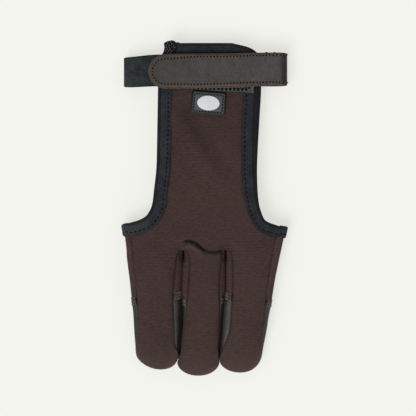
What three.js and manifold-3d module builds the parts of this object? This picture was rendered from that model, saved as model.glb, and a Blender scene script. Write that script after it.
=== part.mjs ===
// A three-finger archery glove, lying on its palm side with its strap closed.
// Millimetres, +Z up. +X runs across the knuckles and +Y runs from the fingertips to the wrist.
// The glove is drawn about the crotch line of its fingers (y = 0, z = 0 on the table),
// and the finished group is moved so that its origin is the middle of its footprint.
//
// Each cloth or leather piece is one curved sheet with a real wall. A sheet is a grid of points on
// the outer surface of the glove, thickened inwards, and cut clear of the sheets it is sewn to.

import * as THREE from "three";
import Module from "manifold-3d";

const wasm = await Module();
wasm.setup();

// Driving dimensions: the hand
const knuckleWidth = 105; // cloth width at the opening
const knuckleDepth = 17; // from the crotch line to the opening edge
const gloveThickness = 17; // of the hand and the fingers, lying down
const leftFingerLength = 77.2;
const middleFingerLength = 81.9;
const rightFingerLength = 80;
const facingShare = 0.395; // where the leather starts, as a share of a finger's length
const fingerGap = 0.4; // between neighbouring fingers

// Driving dimensions: the tongue over the back of the hand
const tongueWidth = 65.5;
const tongueLength = 117.2;
const tongueShift = 2.3; // its middle lies a little towards +X
const tongueCrown = 1.5; // how far its edges hang below its middle
const wristHeight = 13.6; // of its upper face at the wrist

// Driving dimensions: walls and clearances
const clothWall = 1.3;
const facingWall = 1.4;
const seamGap = 0.3; // clearance between pieces that are sewn or laid together

// Driving dimensions: binding tape
const bindingWidth = 8.5;
const bindingWall = 1.0;
const bindingTail = 1.7; // the cut end that stands past the tongue's top edge

// Driving dimensions: wrist strap
const loopWidth = 106.3; // overall width of the closed loop
const elasticWidth = 18.9;
const elasticWall = 1.4;
const tabWidth = 22.4;
const tabWall = 2.4;
const tabReach = 37; // from the middle of the loop to the rounded tip
const strapDrop = 17.6; // from the tongue's top edge to the strap's centre line
const padLength = 47.5;
const padWidth = 19;
const padWall = 1.2;

// Driving dimensions: label
const labelLength = 22.4;
const labelHeight = 16.7;
const labelCorner = 2.2;
const labelWall = 1.2;
const emblemLength = 14.5;
const emblemHeight = 10;
const emblemWall = 0.8;
const labelDrop = 38.6; // from the tongue's top edge to the label's centre

// Shape of a cross-section: a squarish ellipse, flatter underneath
const topPower = 2.3;
const handPower = 2.6;
const floorPower = 3.2;
const tipPower = 2.5;

// Fingers, a row for each section from the crotch to the tip.
// along: share of the finger's length. centre, half, seamLeft, seamRight: shares of knuckleWidth,
// the seams measured inwards from the finger's widest line. depth: share of gloveThickness.
const fingers = [
  {
    name: "left",
    length: leftFingerLength,
    tipShare: 0.2,
    rows: [
      { along: 0.0, centre: -0.3115, half: 0.1725, seamLeft: 0.0375, seamRight: 0.019, depth: 1.0 },
      { along: 0.335, centre: -0.298, half: 0.1647, seamLeft: 0.0325, seamRight: 0.058, depth: 0.98 },
      { along: 0.5, centre: -0.296, half: 0.1532, seamLeft: 0.0275, seamRight: 0.0505, depth: 0.96 },
      { along: 0.67, centre: -0.296, half: 0.1455, seamLeft: 0.019, seamRight: 0.038, depth: 0.94 },
      { along: 0.795, centre: -0.297, half: 0.1389, seamLeft: 0.0115, seamRight: 0.025, depth: 0.9 },
      { along: 1.0, centre: -0.2833, half: 0.1276, seamLeft: 0.005, seamRight: 0.006, depth: 0.82 },
    ],
  },
  {
    name: "middle",
    length: middleFingerLength,
    tipShare: 0.165,
    rows: [
      { along: 0.0, centre: -0.0076, half: 0.1286, seamLeft: 0.015, seamRight: 0.012, depth: 1.0 },
      { along: 0.317, centre: -0.0052, half: 0.1262, seamLeft: 0.023, seamRight: 0.034, depth: 0.98 },
      { along: 0.476, centre: -0.0157, half: 0.1243, seamLeft: 0.016, seamRight: 0.015, depth: 0.96 },
      { along: 0.635, centre: -0.0233, half: 0.1224, seamLeft: 0.008, seamRight: 0.0085, depth: 0.94 },
      { along: 0.754, centre: -0.0329, half: 0.1224, seamLeft: 0.006, seamRight: 0.006, depth: 0.92 },
      { along: 1.0, centre: -0.0371, half: 0.1195, seamLeft: 0.005, seamRight: 0.005, depth: 0.84 },
    ],
  },
  {
    name: "right",
    length: rightFingerLength,
    tipShare: 0.19,
    rows: [
      { along: 0.0, centre: 0.2986, half: 0.1719, seamLeft: 0.019, seamRight: 0.0467, depth: 1.0 },
      { along: 0.325, centre: 0.2729, half: 0.1462, seamLeft: 0.042, seamRight: 0.033, depth: 0.98 },
      { along: 0.4875, centre: 0.2567, half: 0.1452, seamLeft: 0.0495, seamRight: 0.024, depth: 0.96 },
      { along: 0.65, centre: 0.241, half: 0.14, seamLeft: 0.0476, seamRight: 0.018, depth: 0.94 },
      { along: 0.772, centre: 0.2276, half: 0.1343, seamLeft: 0.018, seamRight: 0.0114, depth: 0.9 },
      { along: 1.0, centre: 0.219, half: 0.1267, seamLeft: 0.006, seamRight: 0.005, depth: 0.82 },
    ],
  },
];

// The hand between the crotch line and the opening. along: share of knuckleDepth. left, right: the
// sides, as shares of knuckleWidth.
const handRows = [
  { along: 0.0, left: -0.484, right: 0.4705 },
  { along: 0.5, left: -0.4914, right: 0.4876 },
  { along: 1.0, left: -0.505, right: 0.504 },
];

// The outer edge of the binding on the back, from the side seams to the tongue's top.
// rise: share of tongueLength above the knuckles. flare: 0 on the tongue's side, 1 at the knuckle.
const outlineRows = [
  { leftRise: 0.005, leftFlare: 0.8, rightRise: -0.0137, rightFlare: 0.726 },
  { leftRise: 0.0213, leftFlare: 0.55, rightRise: 0.006, rightFlare: 0.376 },
  { leftRise: 0.0435, leftFlare: 0.355, rightRise: 0.0256, rightFlare: 0.172 },
  { leftRise: 0.0768, leftFlare: 0.238, rightRise: 0.0657, rightFlare: 0.06 },
  { leftRise: 0.115, leftFlare: 0.152, rightRise: 0.111, rightFlare: -0.01 },
  { leftRise: 0.188, leftFlare: 0.1, rightRise: 0.188, rightFlare: -0.05 },
  { leftRise: 0.299, leftFlare: 0.039, rightRise: 0.299, rightFlare: -0.065 },
  { leftRise: 0.41, leftFlare: 0.017, rightRise: 0.41, rightFlare: -0.05 },
  { leftRise: 0.576, leftFlare: 0.0, rightRise: 0.576, rightFlare: 0.0 },
  { leftRise: 0.742, leftFlare: -0.013, rightRise: 0.742, rightFlare: 0.06 },
  { leftRise: 0.896, leftFlare: -0.02, rightRise: 0.88, rightFlare: 0.06 },
  { leftRise: 0.937, leftFlare: -0.095, rightRise: 0.934, rightFlare: 0.0 },
  { leftRise: 0.962, leftFlare: -0.175, rightRise: 0.963, rightFlare: -0.15 },
  { leftRise: 0.983, leftFlare: -0.185, rightRise: 0.983, rightFlare: -0.39 },
  { leftRise: 1.0, leftFlare: -0.185, rightRise: 1.0, rightFlare: -0.98 },
];

// Height of the tongue's upper face. rise as above. fall: share of the way down to the wrist.
const tongueRows = [
  { rise: -0.2, fall: 0.0 },
  { rise: 0.0, fall: 0.02 },
  { rise: 0.15, fall: 0.16 },
  { rise: 0.35, fall: 0.5 },
  { rise: 0.55, fall: 0.85 },
  { rise: 0.7, fall: 1.0 },
  { rise: 1.1, fall: 1.0 },
];

// The fold that the cloth takes at the root of the middle finger: a soft S between the crotches
const fold = { middle: -0.019, run: 0.043, height: 0.021, swing: 0.034, reach: 0.118, depth: 1.3, width: 1.7 };

const smoothstep = (from, to, value) => THREE.MathUtils.smoothstep(value, from, to);
const mix = THREE.MathUtils.lerp;
const radians = THREE.MathUtils.degToRad;

// A column of a table at any place between its rows, on a smooth curve through them.
function sample(rows, key, column, at) {
  const last = rows.length - 1;
  const place = THREE.MathUtils.clamp(at, rows[0][key], rows[last][key]);
  let i = 0;
  while (i < last - 1 && place > rows[i + 1][key]) i += 1;
  const slope = (a, b) => (rows[b][column] - rows[a][column]) / (rows[b][key] - rows[a][key]);
  const span = rows[i + 1][key] - rows[i][key];
  const startSlope = i > 0 ? slope(i - 1, i + 1) : slope(0, 1);
  const endSlope = i < last - 1 ? slope(i, i + 2) : slope(last - 1, last);
  const t = (place - rows[i][key]) / span;
  const rise = t * t * (3 - 2 * t);
  return (
    rows[i][column] * (1 - rise) +
    rows[i + 1][column] * rise +
    span * (startSlope * t * (1 - t) * (1 - t) - endSlope * t * t * (1 - t))
  );
}

// Cross-sections of the glove, at a distance y from the crotch line

// The palm stands off the table by the binding that lies under it; the fingertips rest on the table.
const floorLift = (y) => (bindingWall + seamGap) * smoothstep(-facingShare * middleFingerLength, -4, y);

function fingerSection(finger, y) {
  const along = THREE.MathUtils.clamp(-y / finger.length, 0, 1);
  const at = (column) => sample(finger.rows, "along", column, along);
  const intoTip = Math.max(0, 1 - (1 - along) / finger.tipShare);
  const close = Math.pow(Math.max(0, 1 - Math.pow(intoTip, tipPower)), 1 / tipPower);
  const half = (at("half") * knuckleWidth - fingerGap / 2) * close;
  const middle = (at("depth") * gloveThickness) / 2;
  const seamAngle = (inset) =>
    Math.acos(Math.pow(1 - (inset * knuckleWidth) / (at("half") * knuckleWidth), topPower / 2));
  return {
    centre: at("centre") * knuckleWidth,
    half,
    middle,
    rise: middle * close,
    drop: (middle - floorLift(y)) * close,
    leftSeam: Math.PI - seamAngle(at("seamLeft")),
    rightSeam: seamAngle(at("seamRight")),
  };
}

// The point of a finger's section at an angle: 0 is +X, a quarter turn is the back of the finger.
function sectionPoint(section, angle) {
  const c = Math.cos(angle);
  const s = Math.sin(angle);
  const power = 2 / (s >= 0 ? topPower : floorPower);
  return {
    x: section.centre + section.half * Math.sign(c) * Math.pow(Math.abs(c), power),
    z: section.middle + (s >= 0 ? section.rise : -section.drop) * Math.pow(Math.abs(s), power),
  };
}

const handSide = (column, y) => sample(handRows, "along", column, y / knuckleDepth) * knuckleWidth;

// Height of the hand's outer surface at a share of its width, on its back or its palm.
function handHeight(share, y, onBack) {
  const across = Math.min(1, Math.abs(2 * share - 1));
  const power = onBack ? handPower : floorPower;
  const bulge = Math.pow(1 - Math.pow(across, power), 1 / power);
  return gloveThickness / 2 + bulge * (onBack ? gloveThickness / 2 : floorLift(y) - gloveThickness / 2);
}

function tongueHeight(x, y) {
  const fall = sample(tongueRows, "rise", "fall", (y - knuckleDepth) / tongueLength);
  const off = (x - tongueShift) / (tongueWidth / 2);
  return mix(gloveThickness, wristHeight, fall) - tongueCrown * Math.min(off * off, 1.6);
}

// Height of the back's outer face beyond the crotch line.
function backHeight(x, y) {
  const left = handSide("left", y);
  const share = (x - left) / (handSide("right", y) - left);
  const toTongue = smoothstep(knuckleDepth - 3, knuckleDepth + 26, y);
  return mix(handHeight(share, y, true), tongueHeight(x, y), toTongue);
}

// Height of the cloth itself: between the crotch line and the knuckles it grows out of the fingers.
function clothHeight(x, y) {
  const left = handSide("left", y);
  const share = (x - left) / (handSide("right", y) - left);
  const fromFingers = crotchHeight(share);
  return mix(fromFingers, backHeight(x, y), smoothstep(0, knuckleDepth, y)) - foldDip(x, y);
}

function foldDip(x, y) {
  const from = (x / knuckleWidth - fold.middle) / fold.run;
  const line = (fold.height - fold.swing * Math.tanh(from)) * knuckleWidth;
  const near = 1 - smoothstep(fold.reach * 0.75, fold.reach, Math.abs(x / knuckleWidth + 0.006));
  return near * fold.depth * Math.exp(-Math.pow((y - line) / fold.width, 2));
}

// The outline of the back: its two sides at one row of outlineRows, any number between 0 and 1

const outlineKeyed = outlineRows.map((row, i) => ({ ...row, at: i / (outlineRows.length - 1) }));

function outlinePoint(side, at) {
  const sign = side === "left" ? -1 : 1;
  const tongueSide = tongueShift + (sign * tongueWidth) / 2;
  const knuckleSide = sign * (knuckleWidth / 2 + bindingWall);
  const x = mix(tongueSide, knuckleSide, sample(outlineKeyed, "at", side + "Flare", at));
  const y = knuckleDepth + sample(outlineKeyed, "at", side + "Rise", at) * tongueLength;
  return new THREE.Vector2(x, y);
}

// The same point, moved in to where the cloth ends inside the binding's fold.
function clothEdge(side, at) {
  const step = 0.004;
  const before = outlinePoint(side, Math.max(0, at - step));
  const along = outlinePoint(side, Math.min(1, at + step)).sub(before).normalize();
  const inwards = new THREE.Vector2(along.y, -along.x).multiplyScalar(side === "left" ? 1 : -1);
  return outlinePoint(side, at).addScaledVector(inwards, bindingWall + seamGap);
}

// Sheets: triangles on the outer surface, given a wall and closed all round

class Surface {
  constructor() {
    this.points = [];
    this.triangles = [];
    this.index = new Map();
  }
  add(point) {
    const key = [point.x, point.y, point.z].map((v) => Math.round(v * 2000)).join(",");
    if (!this.index.has(key)) {
      this.index.set(key, this.points.length);
      this.points.push(point);
    }
    return this.index.get(key);
  }
  quad(a, b, c, d) {
    const corners = [a, b, c, d].map((p) => this.add(p));
    for (const [i, j, k] of [[0, 1, 2], [0, 2, 3]]) {
      const [p, q, r] = [corners[i], corners[j], corners[k]];
      if (p !== q && q !== r && p !== r) this.triangles.push([p, q, r]);
    }
  }
  // Adds a grid of points, row by row. A cell whose skip test is true stays open.
  grid(rows, skip = () => false) {
    for (let j = 0; j + 1 < rows.length; j += 1)
      for (let i = 0; i + 1 < rows[j].length; i += 1)
        if (!skip(j, i)) this.quad(rows[j][i], rows[j][i + 1], rows[j + 1][i + 1], rows[j + 1][i]);
    return this;
  }
  normals() {
    const normals = this.points.map(() => new THREE.Vector3());
    for (const [a, b, c] of this.triangles) {
      const face = new THREE.Vector3()
        .subVectors(this.points[b], this.points[a])
        .cross(new THREE.Vector3().subVectors(this.points[c], this.points[a]));
      for (const corner of [a, b, c]) normals[corner].add(face);
    }
    return normals.map((n) => n.normalize());
  }
  openEdges() {
    const used = new Map();
    for (const [a, b, c] of this.triangles)
      for (const [p, q] of [[a, b], [b, c], [c, a]]) used.set(p + "," + q, [p, q]);
    return [...used.values()].filter(([p, q]) => !used.has(q + "," + p));
  }
}

// A solid of a surface with its wall on the inner side. clearance swells it on every side.
function thicken(surface, wall, clearance = 0) {
  const normals = surface.normals();
  const edges = surface.openEdges();
  const outwards = surface.points.map(() => new THREE.Vector3());
  for (const [p, q] of edges) {
    const along = new THREE.Vector3().subVectors(surface.points[q], surface.points[p]).normalize();
    for (const end of [p, q]) outwards[end].add(new THREE.Vector3().crossVectors(along, normals[end]));
  }
  const count = surface.points.length;
  const positions = [];
  for (const offset of [clearance, -wall - clearance])
    surface.points.forEach((point, i) => {
      const side = outwards[i].lengthSq() ? outwards[i].clone().normalize().multiplyScalar(clearance) : outwards[i];
      positions.push(...point.clone().addScaledVector(normals[i], offset).add(side).toArray());
    });
  const triangles = [];
  for (const [a, b, c] of surface.triangles) {
    triangles.push(a, b, c);
    triangles.push(a + count, c + count, b + count);
  }
  for (const [p, q] of edges) {
    triangles.push(q, p, p + count);
    triangles.push(q, p + count, q + count);
  }
  return solidFrom(positions, triangles);
}

function solidFrom(positions, triangles) {
  const mesh = new wasm.Mesh({
    numProp: 3,
    vertProperties: new Float32Array(positions),
    triVerts: new Uint32Array(triangles),
  });
  return new wasm.Manifold(mesh);
}

function geometryFrom(solid) {
  const mesh = solid.getMesh();
  const geometry = new THREE.BufferGeometry();
  geometry.setAttribute("position", new THREE.BufferAttribute(Float32Array.from(mesh.vertProperties), 3));
  geometry.setIndex(Array.from(mesh.triVerts));
  geometry.computeVertexNormals();
  return geometry;
}

const vector = (x, y, z) => new THREE.Vector3(x, y, z);
const range = (count) => Array.from({ length: count }, (_, i) => i);
const steps = (from, to, count) => Array.from({ length: count + 1 }, (_, i) => mix(from, to, i / count));

// Rows along a finger, closer together round the tip, and the columns round its section
const fingerSteps = [0, 0.035, 0.08, 0.16, 0.27, 0.395, 0.5, 0.61, 0.72, 0.81, 0.88, 0.93, 0.965, 0.99, 1];
const backColumns = 6;
const gapColumns = 1;
const palmSeamAngle = radians(48); // below the widest line, where a fourchette meets the palm

// The back of the hand, the backs of the fingers and the tongue, in one piece

function backFingerRow(finger, y) {
  const section = fingerSection(finger, y);
  return steps(section.leftSeam, section.rightSeam, backColumns).map((angle) => {
    const { x, z } = sectionPoint(section, angle);
    return vector(x, y, z - foldDip(x, y));
  });
}

// The crotch row joins the three fingers, with short straight edges between them.
function crotchRow(rowOf) {
  const row = [];
  for (const finger of fingers) {
    const part = rowOf(finger);
    if (row.length) {
      const from = row[row.length - 1];
      for (let i = 1; i < gapColumns; i += 1)
        row.push(Object.assign(from.clone().lerp(part[0], i / gapColumns), { onBack: false }));
    }
    row.push(...part);
  }
  return row;
}

const handShare = (x) => (x - handSide("left", 0)) / (handSide("right", 0) - handSide("left", 0));
const crotch = crotchRow((finger) => backFingerRow(finger, 0));

// Height of the crotch row, without its fold, at a share of the hand's width.
function crotchHeight(share) {
  let i = 0;
  while (i < crotch.length - 2 && share > handShare(crotch[i + 1].x)) i += 1;
  const [a, b] = [crotch[i], crotch[i + 1]];
  const [za, zb] = [a.z + foldDip(a.x, a.y), b.z + foldDip(b.x, b.y)];
  const t = (share - handShare(a.x)) / (handShare(b.x) - handShare(a.x));
  return mix(za, zb, THREE.MathUtils.clamp(t, 0, 1));
}

function backPanel() {
  const surface = new Surface();
  for (const finger of fingers)
    surface.grid(fingerSteps.map((share) => backFingerRow(finger, -share * finger.length)).reverse());
  const shares = crotch.map((p) => handShare(p.x));
  const [firstShare, lastShare] = [shares[0], shares[shares.length - 1]];
  const cornerLeft = clothEdge("left", 0);
  const cornerRight = clothEdge("right", 0);
  const rows = [crotch];
  for (const part of [0.1, 0.2, 0.31, 0.44, 0.6, 0.8]) {
    rows.push(
      shares.map((share) => {
        const y = part * mix(cornerLeft.y, cornerRight.y, (share - firstShare) / (lastShare - firstShare));
        const x = mix(handSide("left", y), handSide("right", y), share);
        return vector(x, y, clothHeight(x, y));
      }),
    );
  }
  for (const at of steps(0, 1, outlineRows.length - 1)) {
    const left = clothEdge("left", at);
    const right = clothEdge("right", at);
    if (at === 1) for (const end of [left, right]) end.y = knuckleDepth + tongueLength - bindingWall - seamGap;
    rows.push(
      shares.map((share) => {
        const across = (share - firstShare) / (lastShare - firstShare);
        const x = mix(left.x, right.x, across);
        const y = mix(left.y, right.y, across);
        return vector(x, y, clothHeight(x, y));
      }),
    );
  }
  return surface.grid(rows);
}

// The palm: from one side seam under the hand to the other, with the undersides of the finger roots

function palmFingerRow(finger, y) {
  const section = fingerSection(finger, y);
  const from = finger.name === "left" ? section.leftSeam : Math.PI + palmSeamAngle;
  const to = 2 * Math.PI + (finger.name === "right" ? section.rightSeam : -palmSeamAngle);
  const columns = finger.name === "middle" ? 5 : 9;
  return steps(from, to, columns).map((angle) => {
    const { x, z } = sectionPoint(section, angle);
    return Object.assign(vector(x, y, z), { onBack: Math.sin(angle) > 1e-6 });
  });
}

const palmShares = [0, 0.08, 0.16, 0.27, 0.395].map((share) => (share * facingShare) / 0.395);
const palmDip = 7.3; // how far the palm's edge curves towards the fingers

// The palm beyond the crotch line: its columns run on from those of the fingers.
function palmShape() {
  const start = crotchRow((finger) => palmFingerRow(finger, 0));
  const ends = [clothEdge("left", 0).y, clothEdge("right", 0).y];
  const edge = (column) => {
    const round = column / (start.length - 1);
    return mix(...ends, round) - palmDip * Math.pow(Math.sin(Math.PI * round), 1.5);
  };
  const point = (column, y) => {
    const from = start[column];
    const share = handShare(from.x);
    const x = mix(handSide("left", y), handSide("right", y), share);
    return vector(x, y, mix(from.z, handHeight(share, y, from.onBack), smoothstep(0, knuckleDepth, y)));
  };
  return { columns: start.length, edge, point };
}

function palmPanel() {
  const surface = new Surface();
  for (const finger of fingers)
    surface.grid(palmShares.map((share) => palmFingerRow(finger, -share * finger.length)));
  const palm = palmShape();
  const columns = range(palm.columns);
  return surface.grid(steps(1, 0, 4).map((part) => columns.map((i) => palm.point(i, part * palm.edge(i)))));
}

// A leather facing wraps the underside and both sides of a fingertip.
function facing(finger) {
  const shares = fingerSteps.filter((share) => share > facingShare + 0.02);
  const rows = [facingShare, ...shares].map((share) => {
    const y = -share * finger.length;
    const section = fingerSection(finger, y);
    return steps(section.leftSeam, 2 * Math.PI + section.rightSeam, 14).map((angle) => {
      const { x, z } = sectionPoint(section, angle);
      return vector(x, y, z);
    });
  });
  return new Surface().grid(rows);
}

// A fourchette lines the slit between two fingers: down one, across the crotch and down the other.
function fourchette(first, second) {
  const columns = 5;
  const shares = [...palmShares].reverse();
  const strip = (finger, share, from, to) => {
    const y = -share * finger.length;
    const section = fingerSection(finger, y);
    return steps(from(section), to, columns).map((angle) => {
      const { x, z } = sectionPoint(section, angle);
      return vector(x, y, z);
    });
  };
  const down = shares.map((share) => strip(first, share, (s) => s.rightSeam, -palmSeamAngle));
  const up = shares.map((share) => strip(second, share, (s) => s.leftSeam, Math.PI + palmSeamAngle)).reverse();
  return new Surface().grid([...down, ...up]);
}

// Binding: one tape folded over the whole opening edge, from the tongue's top corner round to it again

const bandSteps = [0, bindingWall, bindingWidth / 2, bindingWidth];

// The surface under the tape, at a distance inwards from the outline of the back.
function bandOnBack(from, inwards, across) {
  const { x, y } = from.clone().addScaledVector(inwards, across);
  const step = 0.5;
  const dx = (clothHeight(x + step, y) - clothHeight(x - step, y)) / (2 * step);
  const dy = (clothHeight(x, y + step) - clothHeight(x, y - step)) / (2 * step);
  return { point: vector(x, y, clothHeight(x, y)), normal: vector(-dx, -dy, 1).normalize() };
}

// The surface under the tape along the palm's edge.
function bandOnPalm(palm, column, across) {
  const y = palm.edge(column) + bindingWall + seamGap - across;
  const alongY = new THREE.Vector3().subVectors(palm.point(column, y + 0.5), palm.point(column, y - 0.5));
  const before = palm.point(Math.max(0, column - 1), y);
  const after = palm.point(Math.min(palm.columns - 1, column + 1), y);
  const normal = new THREE.Vector3().crossVectors(alongY, after.sub(before)).normalize();
  return { point: palm.point(column, y), normal };
}

function bindingStations() {
  const stations = [...steps(1, 0.72, 7), ...steps(0.67, 0.3, 5), ...steps(0.25, 0, 9)];
  const topY = knuckleDepth + tongueLength;
  const tail = outlinePoint("left", 1).add(new THREE.Vector2(0, bindingTail));
  const leftLine = [tail, ...stations.map((at) => outlinePoint("left", at))];
  const rightLine = stations.map((at) => outlinePoint("right", at)).reverse();
  const cornerX = outlinePoint("right", 1).x;
  const startX = outlinePoint("left", 1).x + bindingWidth + seamGap;
  const topLine = steps(cornerX, startX, 6).slice(1).map((x) => new THREE.Vector2(x, topY));
  const follow = (line) =>
    line.map((from, i) => {
      const before = line[Math.max(0, i - 1)];
      const along = line[Math.min(line.length - 1, i + 1)].clone().sub(before).normalize();
      const inwards = new THREE.Vector2(-along.y, along.x);
      return bandSteps.map((across) => bandOnBack(from, inwards, across));
    });
  const palm = palmShape();
  const underneath = range(palm.columns)
    .slice(1, -1)
    .map((column) => bandSteps.map((across) => bandOnPalm(palm, column, across)));
  return [...follow(leftLine), ...underneath, ...follow([...rightLine, ...topLine])];
}

function binding() {
  const face = seamGap + bindingWall;
  const under = -clothWall - seamGap;
  const round = bindingWall * 0.5;
  const profile = [
    [0, face - round],
    [1, face],
    [2, face],
    [3, face],
    [3, seamGap],
    [2, seamGap],
    [1, seamGap],
    [1, under],
    [2, under],
    [3, under],
    [3, under - bindingWall],
    [2, under - bindingWall],
    [1, under - bindingWall],
    [0, under - bindingWall + round],
  ];
  const rings = bindingStations().map((station) =>
    profile.map(([step, out]) => station[step].point.clone().addScaledVector(station[step].normal, out)),
  );
  return sweepSolid(rings);
}

// A closed solid through rings of points, capped at both ends.
function sweepSolid(rings) {
  const size = rings[0].length;
  const positions = rings.flatMap((ring) => ring.flatMap((p) => p.toArray()));
  const triangles = [];
  for (let j = 0; j + 1 < rings.length; j += 1)
    for (let i = 0; i < size; i += 1) {
      const next = (i + 1) % size;
      const [a, b] = [j * size + i, j * size + next];
      triangles.push(a, b, b + size, a, b + size, a + size);
    }
  const flat = rings[0].map((p, i) => new THREE.Vector2(...planar(rings[0], i)));
  for (const [a, b, c] of THREE.ShapeUtils.triangulateShape(flat, [])) {
    const last = (rings.length - 1) * size;
    triangles.push(a, c, b, last + a, last + b, last + c);
  }
  const solid = solidFrom(positions, triangles);
  return solid.volume() < 0 ? solidFrom(positions, triangles.map((_, i) => triangles[i - (i % 3) + 2 - (i % 3)])) : solid;
}

// A ring's point in the ring's own plane, for its end caps.
function planar(ring, i) {
  const across = new THREE.Vector3().subVectors(ring[1], ring[0]).normalize();
  const normal = new THREE.Vector3();
  ring.forEach((p, k) => normal.add(new THREE.Vector3().crossVectors(p, ring[(k + 1) % ring.length])));
  const up = new THREE.Vector3().crossVectors(normal.normalize(), across).normalize();
  const from = new THREE.Vector3().subVectors(ring[i], ring[0]);
  return [from.dot(across), from.dot(up)];
}

// The strap: an elastic band from the tongue's face round under the wrist, and a leather tab that
// comes up the other side and closes over the pad on the tongue

const strapY = knuckleDepth + tongueLength - strapDrop;
const tongueLeft = tongueShift - tongueWidth / 2;
const tongueRight = tongueShift + tongueWidth / 2;
const loopHalf = loopWidth / 2;
const padCentre = tongueRight - 4.4 - padLength / 2;
const padStart = padCentre - padLength / 2;
const bindingTop = bindingWall + seamGap; // of the tape above the cloth

// Height of what lies on the tongue's face at the strap: the cloth, or the binding along its sides.
function faceHeight(x, y) {
  const inside = THREE.MathUtils.clamp(x, tongueLeft, tongueRight);
  const fromEdge = Math.min(inside - tongueLeft, tongueRight - inside);
  return tongueHeight(inside, y) + bindingTop * (1 - smoothstep(bindingWidth + 3, bindingWidth + 6, fromEdge));
}

// A flat strip along a line of (x, z) points, with its edges in y. The line is its middle.
function strip(line, wall, edgesAt) {
  const rings = line.map(([x, z], i) => {
    const before = line[Math.max(0, i - 1)];
    const after = line[Math.min(line.length - 1, i + 1)];
    const along = new THREE.Vector2(after[0] - before[0], after[1] - before[1]).normalize();
    const out = new THREE.Vector2(-along.y, along.x).multiplyScalar(wall / 2);
    const [low, high] = edgesAt(x, i);
    const corner = (sign, y) => vector(x + sign * out.x, y, z + sign * out.y);
    return [corner(-1, low), corner(1, low), corner(1, high), corner(-1, high)];
  });
  return sweepSolid(rings);
}

// Half an oval turn between two levels. side -1 turns at the left and +1 at the right.
function turn(side, wall, reach, high, low) {
  const centre = side * (loopHalf - wall / 2 - reach);
  const middle = (high + low) / 2;
  return steps(90, -90, 10).map((angle) => [
    centre + side * reach * Math.cos(radians(angle)),
    middle + ((high - low) / 2) * Math.sin(radians(angle)),
  ]);
}

function wristElastic() {
  const start = padStart - 1.8;
  const lie = (x) => faceHeight(x, strapY) + seamGap + elasticWall / 2;
  const front = steps(start, tongueLeft - 1, 7).map((x) => [x, lie(x)]);
  const floor = elasticWall / 2;
  const overTab = tabWall + seamGap + elasticWall / 2;
  const round = turn(-1, elasticWall, 6.5, lie(tongueLeft) - 1.2, floor);
  const end = loopHalf - 8;
  const under = [...steps(-30, end - 20, 5), end - 17, end - 14, end].map((x) => [
    x,
    mix(floor, overTab, smoothstep(end - 19, end - 13.5, x)),
  ]);
  const slant = (x) => 0.8 * (1 - smoothstep(-loopHalf, tongueLeft, x));
  return strip([...front, ...round, ...under], elasticWall, (x) => [
    strapY - elasticWidth / 2 - slant(x),
    strapY + elasticWidth / 2 - slant(x) * 2,
  ]);
}

// How far the tab's underside stands above the tongue's bare cloth, to clear what it lies on.
const overBinding = bindingTop + seamGap;
const tabRows = [
  { x: -tabReach, lift: overBinding + elasticWall + seamGap },
  { x: tongueLeft + bindingWidth + 4, lift: overBinding + elasticWall + seamGap },
  { x: tongueLeft + bindingWidth + 9, lift: 3 * seamGap + padWall },
  { x: padCentre, lift: 3 * seamGap + padWall },
  { x: tongueRight - bindingWidth - 8, lift: 3 * seamGap + padWall },
  { x: tongueRight - bindingWidth - 2.5, lift: overBinding + padWall + seamGap },
  { x: tongueRight + 3, lift: overBinding + padWall + seamGap },
];

function closureTab() {
  const lie = (x) => {
    const inside = THREE.MathUtils.clamp(x, tongueLeft, tongueRight);
    return tongueHeight(inside, strapY) + sample(tabRows, "x", "lift", x) + tabWall / 2;
  };
  const tipRound = tabWidth * 0.52;
  const tipSteps = [0.02, 0.08, 0.2, 0.36, 0.55, 0.78, 1].map((t) => -tabReach + tipRound * t);
  const top = [...tipSteps, ...steps(-tabReach + tipRound + 3, tongueRight + 2, 14)].map((x) => [x, lie(x)]);
  const round = turn(1, tabWall, 5.5, lie(tongueRight) - 0.2, tabWall / 2);
  const under = [[loopHalf - 12, tabWall / 2], [loopHalf - 17, tabWall / 2]];
  const centre = strapY - 0.3;
  return strip([...top, ...round, ...under], tabWall, (x, i) => {
    const intoTip = THREE.MathUtils.clamp(1 - (x + tabReach) / tipRound, 0, 1);
    const round01 = i < tipSteps.length ? Math.sqrt(1 - intoTip * intoTip) : 1;
    const taper = 0.7 * smoothstep(0, loopHalf, x);
    return [centre - (tabWidth / 2) * round01 + taper * 2, centre + (tabWidth / 2) * round01 + taper * 0.3];
  });
}

// A plate laid on the tongue: a closed outline filled by a grid of spokes and turned by an angle
function plate(outline, centre, turned, wall, height) {
  const place = (x, y) => {
    const p = new THREE.Vector2(x, y).rotateAround(new THREE.Vector2(), turned).add(centre);
    return vector(p.x, p.y, height(p.x, p.y) + wall);
  };
  const rings = [1, 0.86, 0.45, 0].map((share) => outline.map((p) => place(p.x * share, p.y * share)));
  const closed = rings.map((ring) => [...ring, ring[0]]);
  return thicken(new Surface().grid(closed), wall);
}

function roundedOutline(length, height, corner) {
  const points = [];
  for (const [sx, sy, from] of [[1, 1, 0], [-1, 1, 90], [-1, -1, 180], [1, -1, 270]])
    for (const angle of steps(from, from + 90, 4)) {
      const x = sx * (length / 2 - corner) + corner * Math.cos(radians(angle));
      const y = sy * (height / 2 - corner) + corner * Math.sin(radians(angle));
      points.push(new THREE.Vector2(x, y));
    }
  return points;
}

function ovalOutline(length, height, count) {
  return steps(0, 360, count)
    .slice(0, count)
    .map((angle) => new THREE.Vector2((length / 2) * Math.cos(radians(angle)), (height / 2) * Math.sin(radians(angle))));
}

const labelCentre = new THREE.Vector2(tongueShift + 0.2, knuckleDepth + tongueLength - labelDrop);
const labelTurn = radians(-4);
const clothFace = (x, y) => backHeight(x, y) + seamGap;

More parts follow.
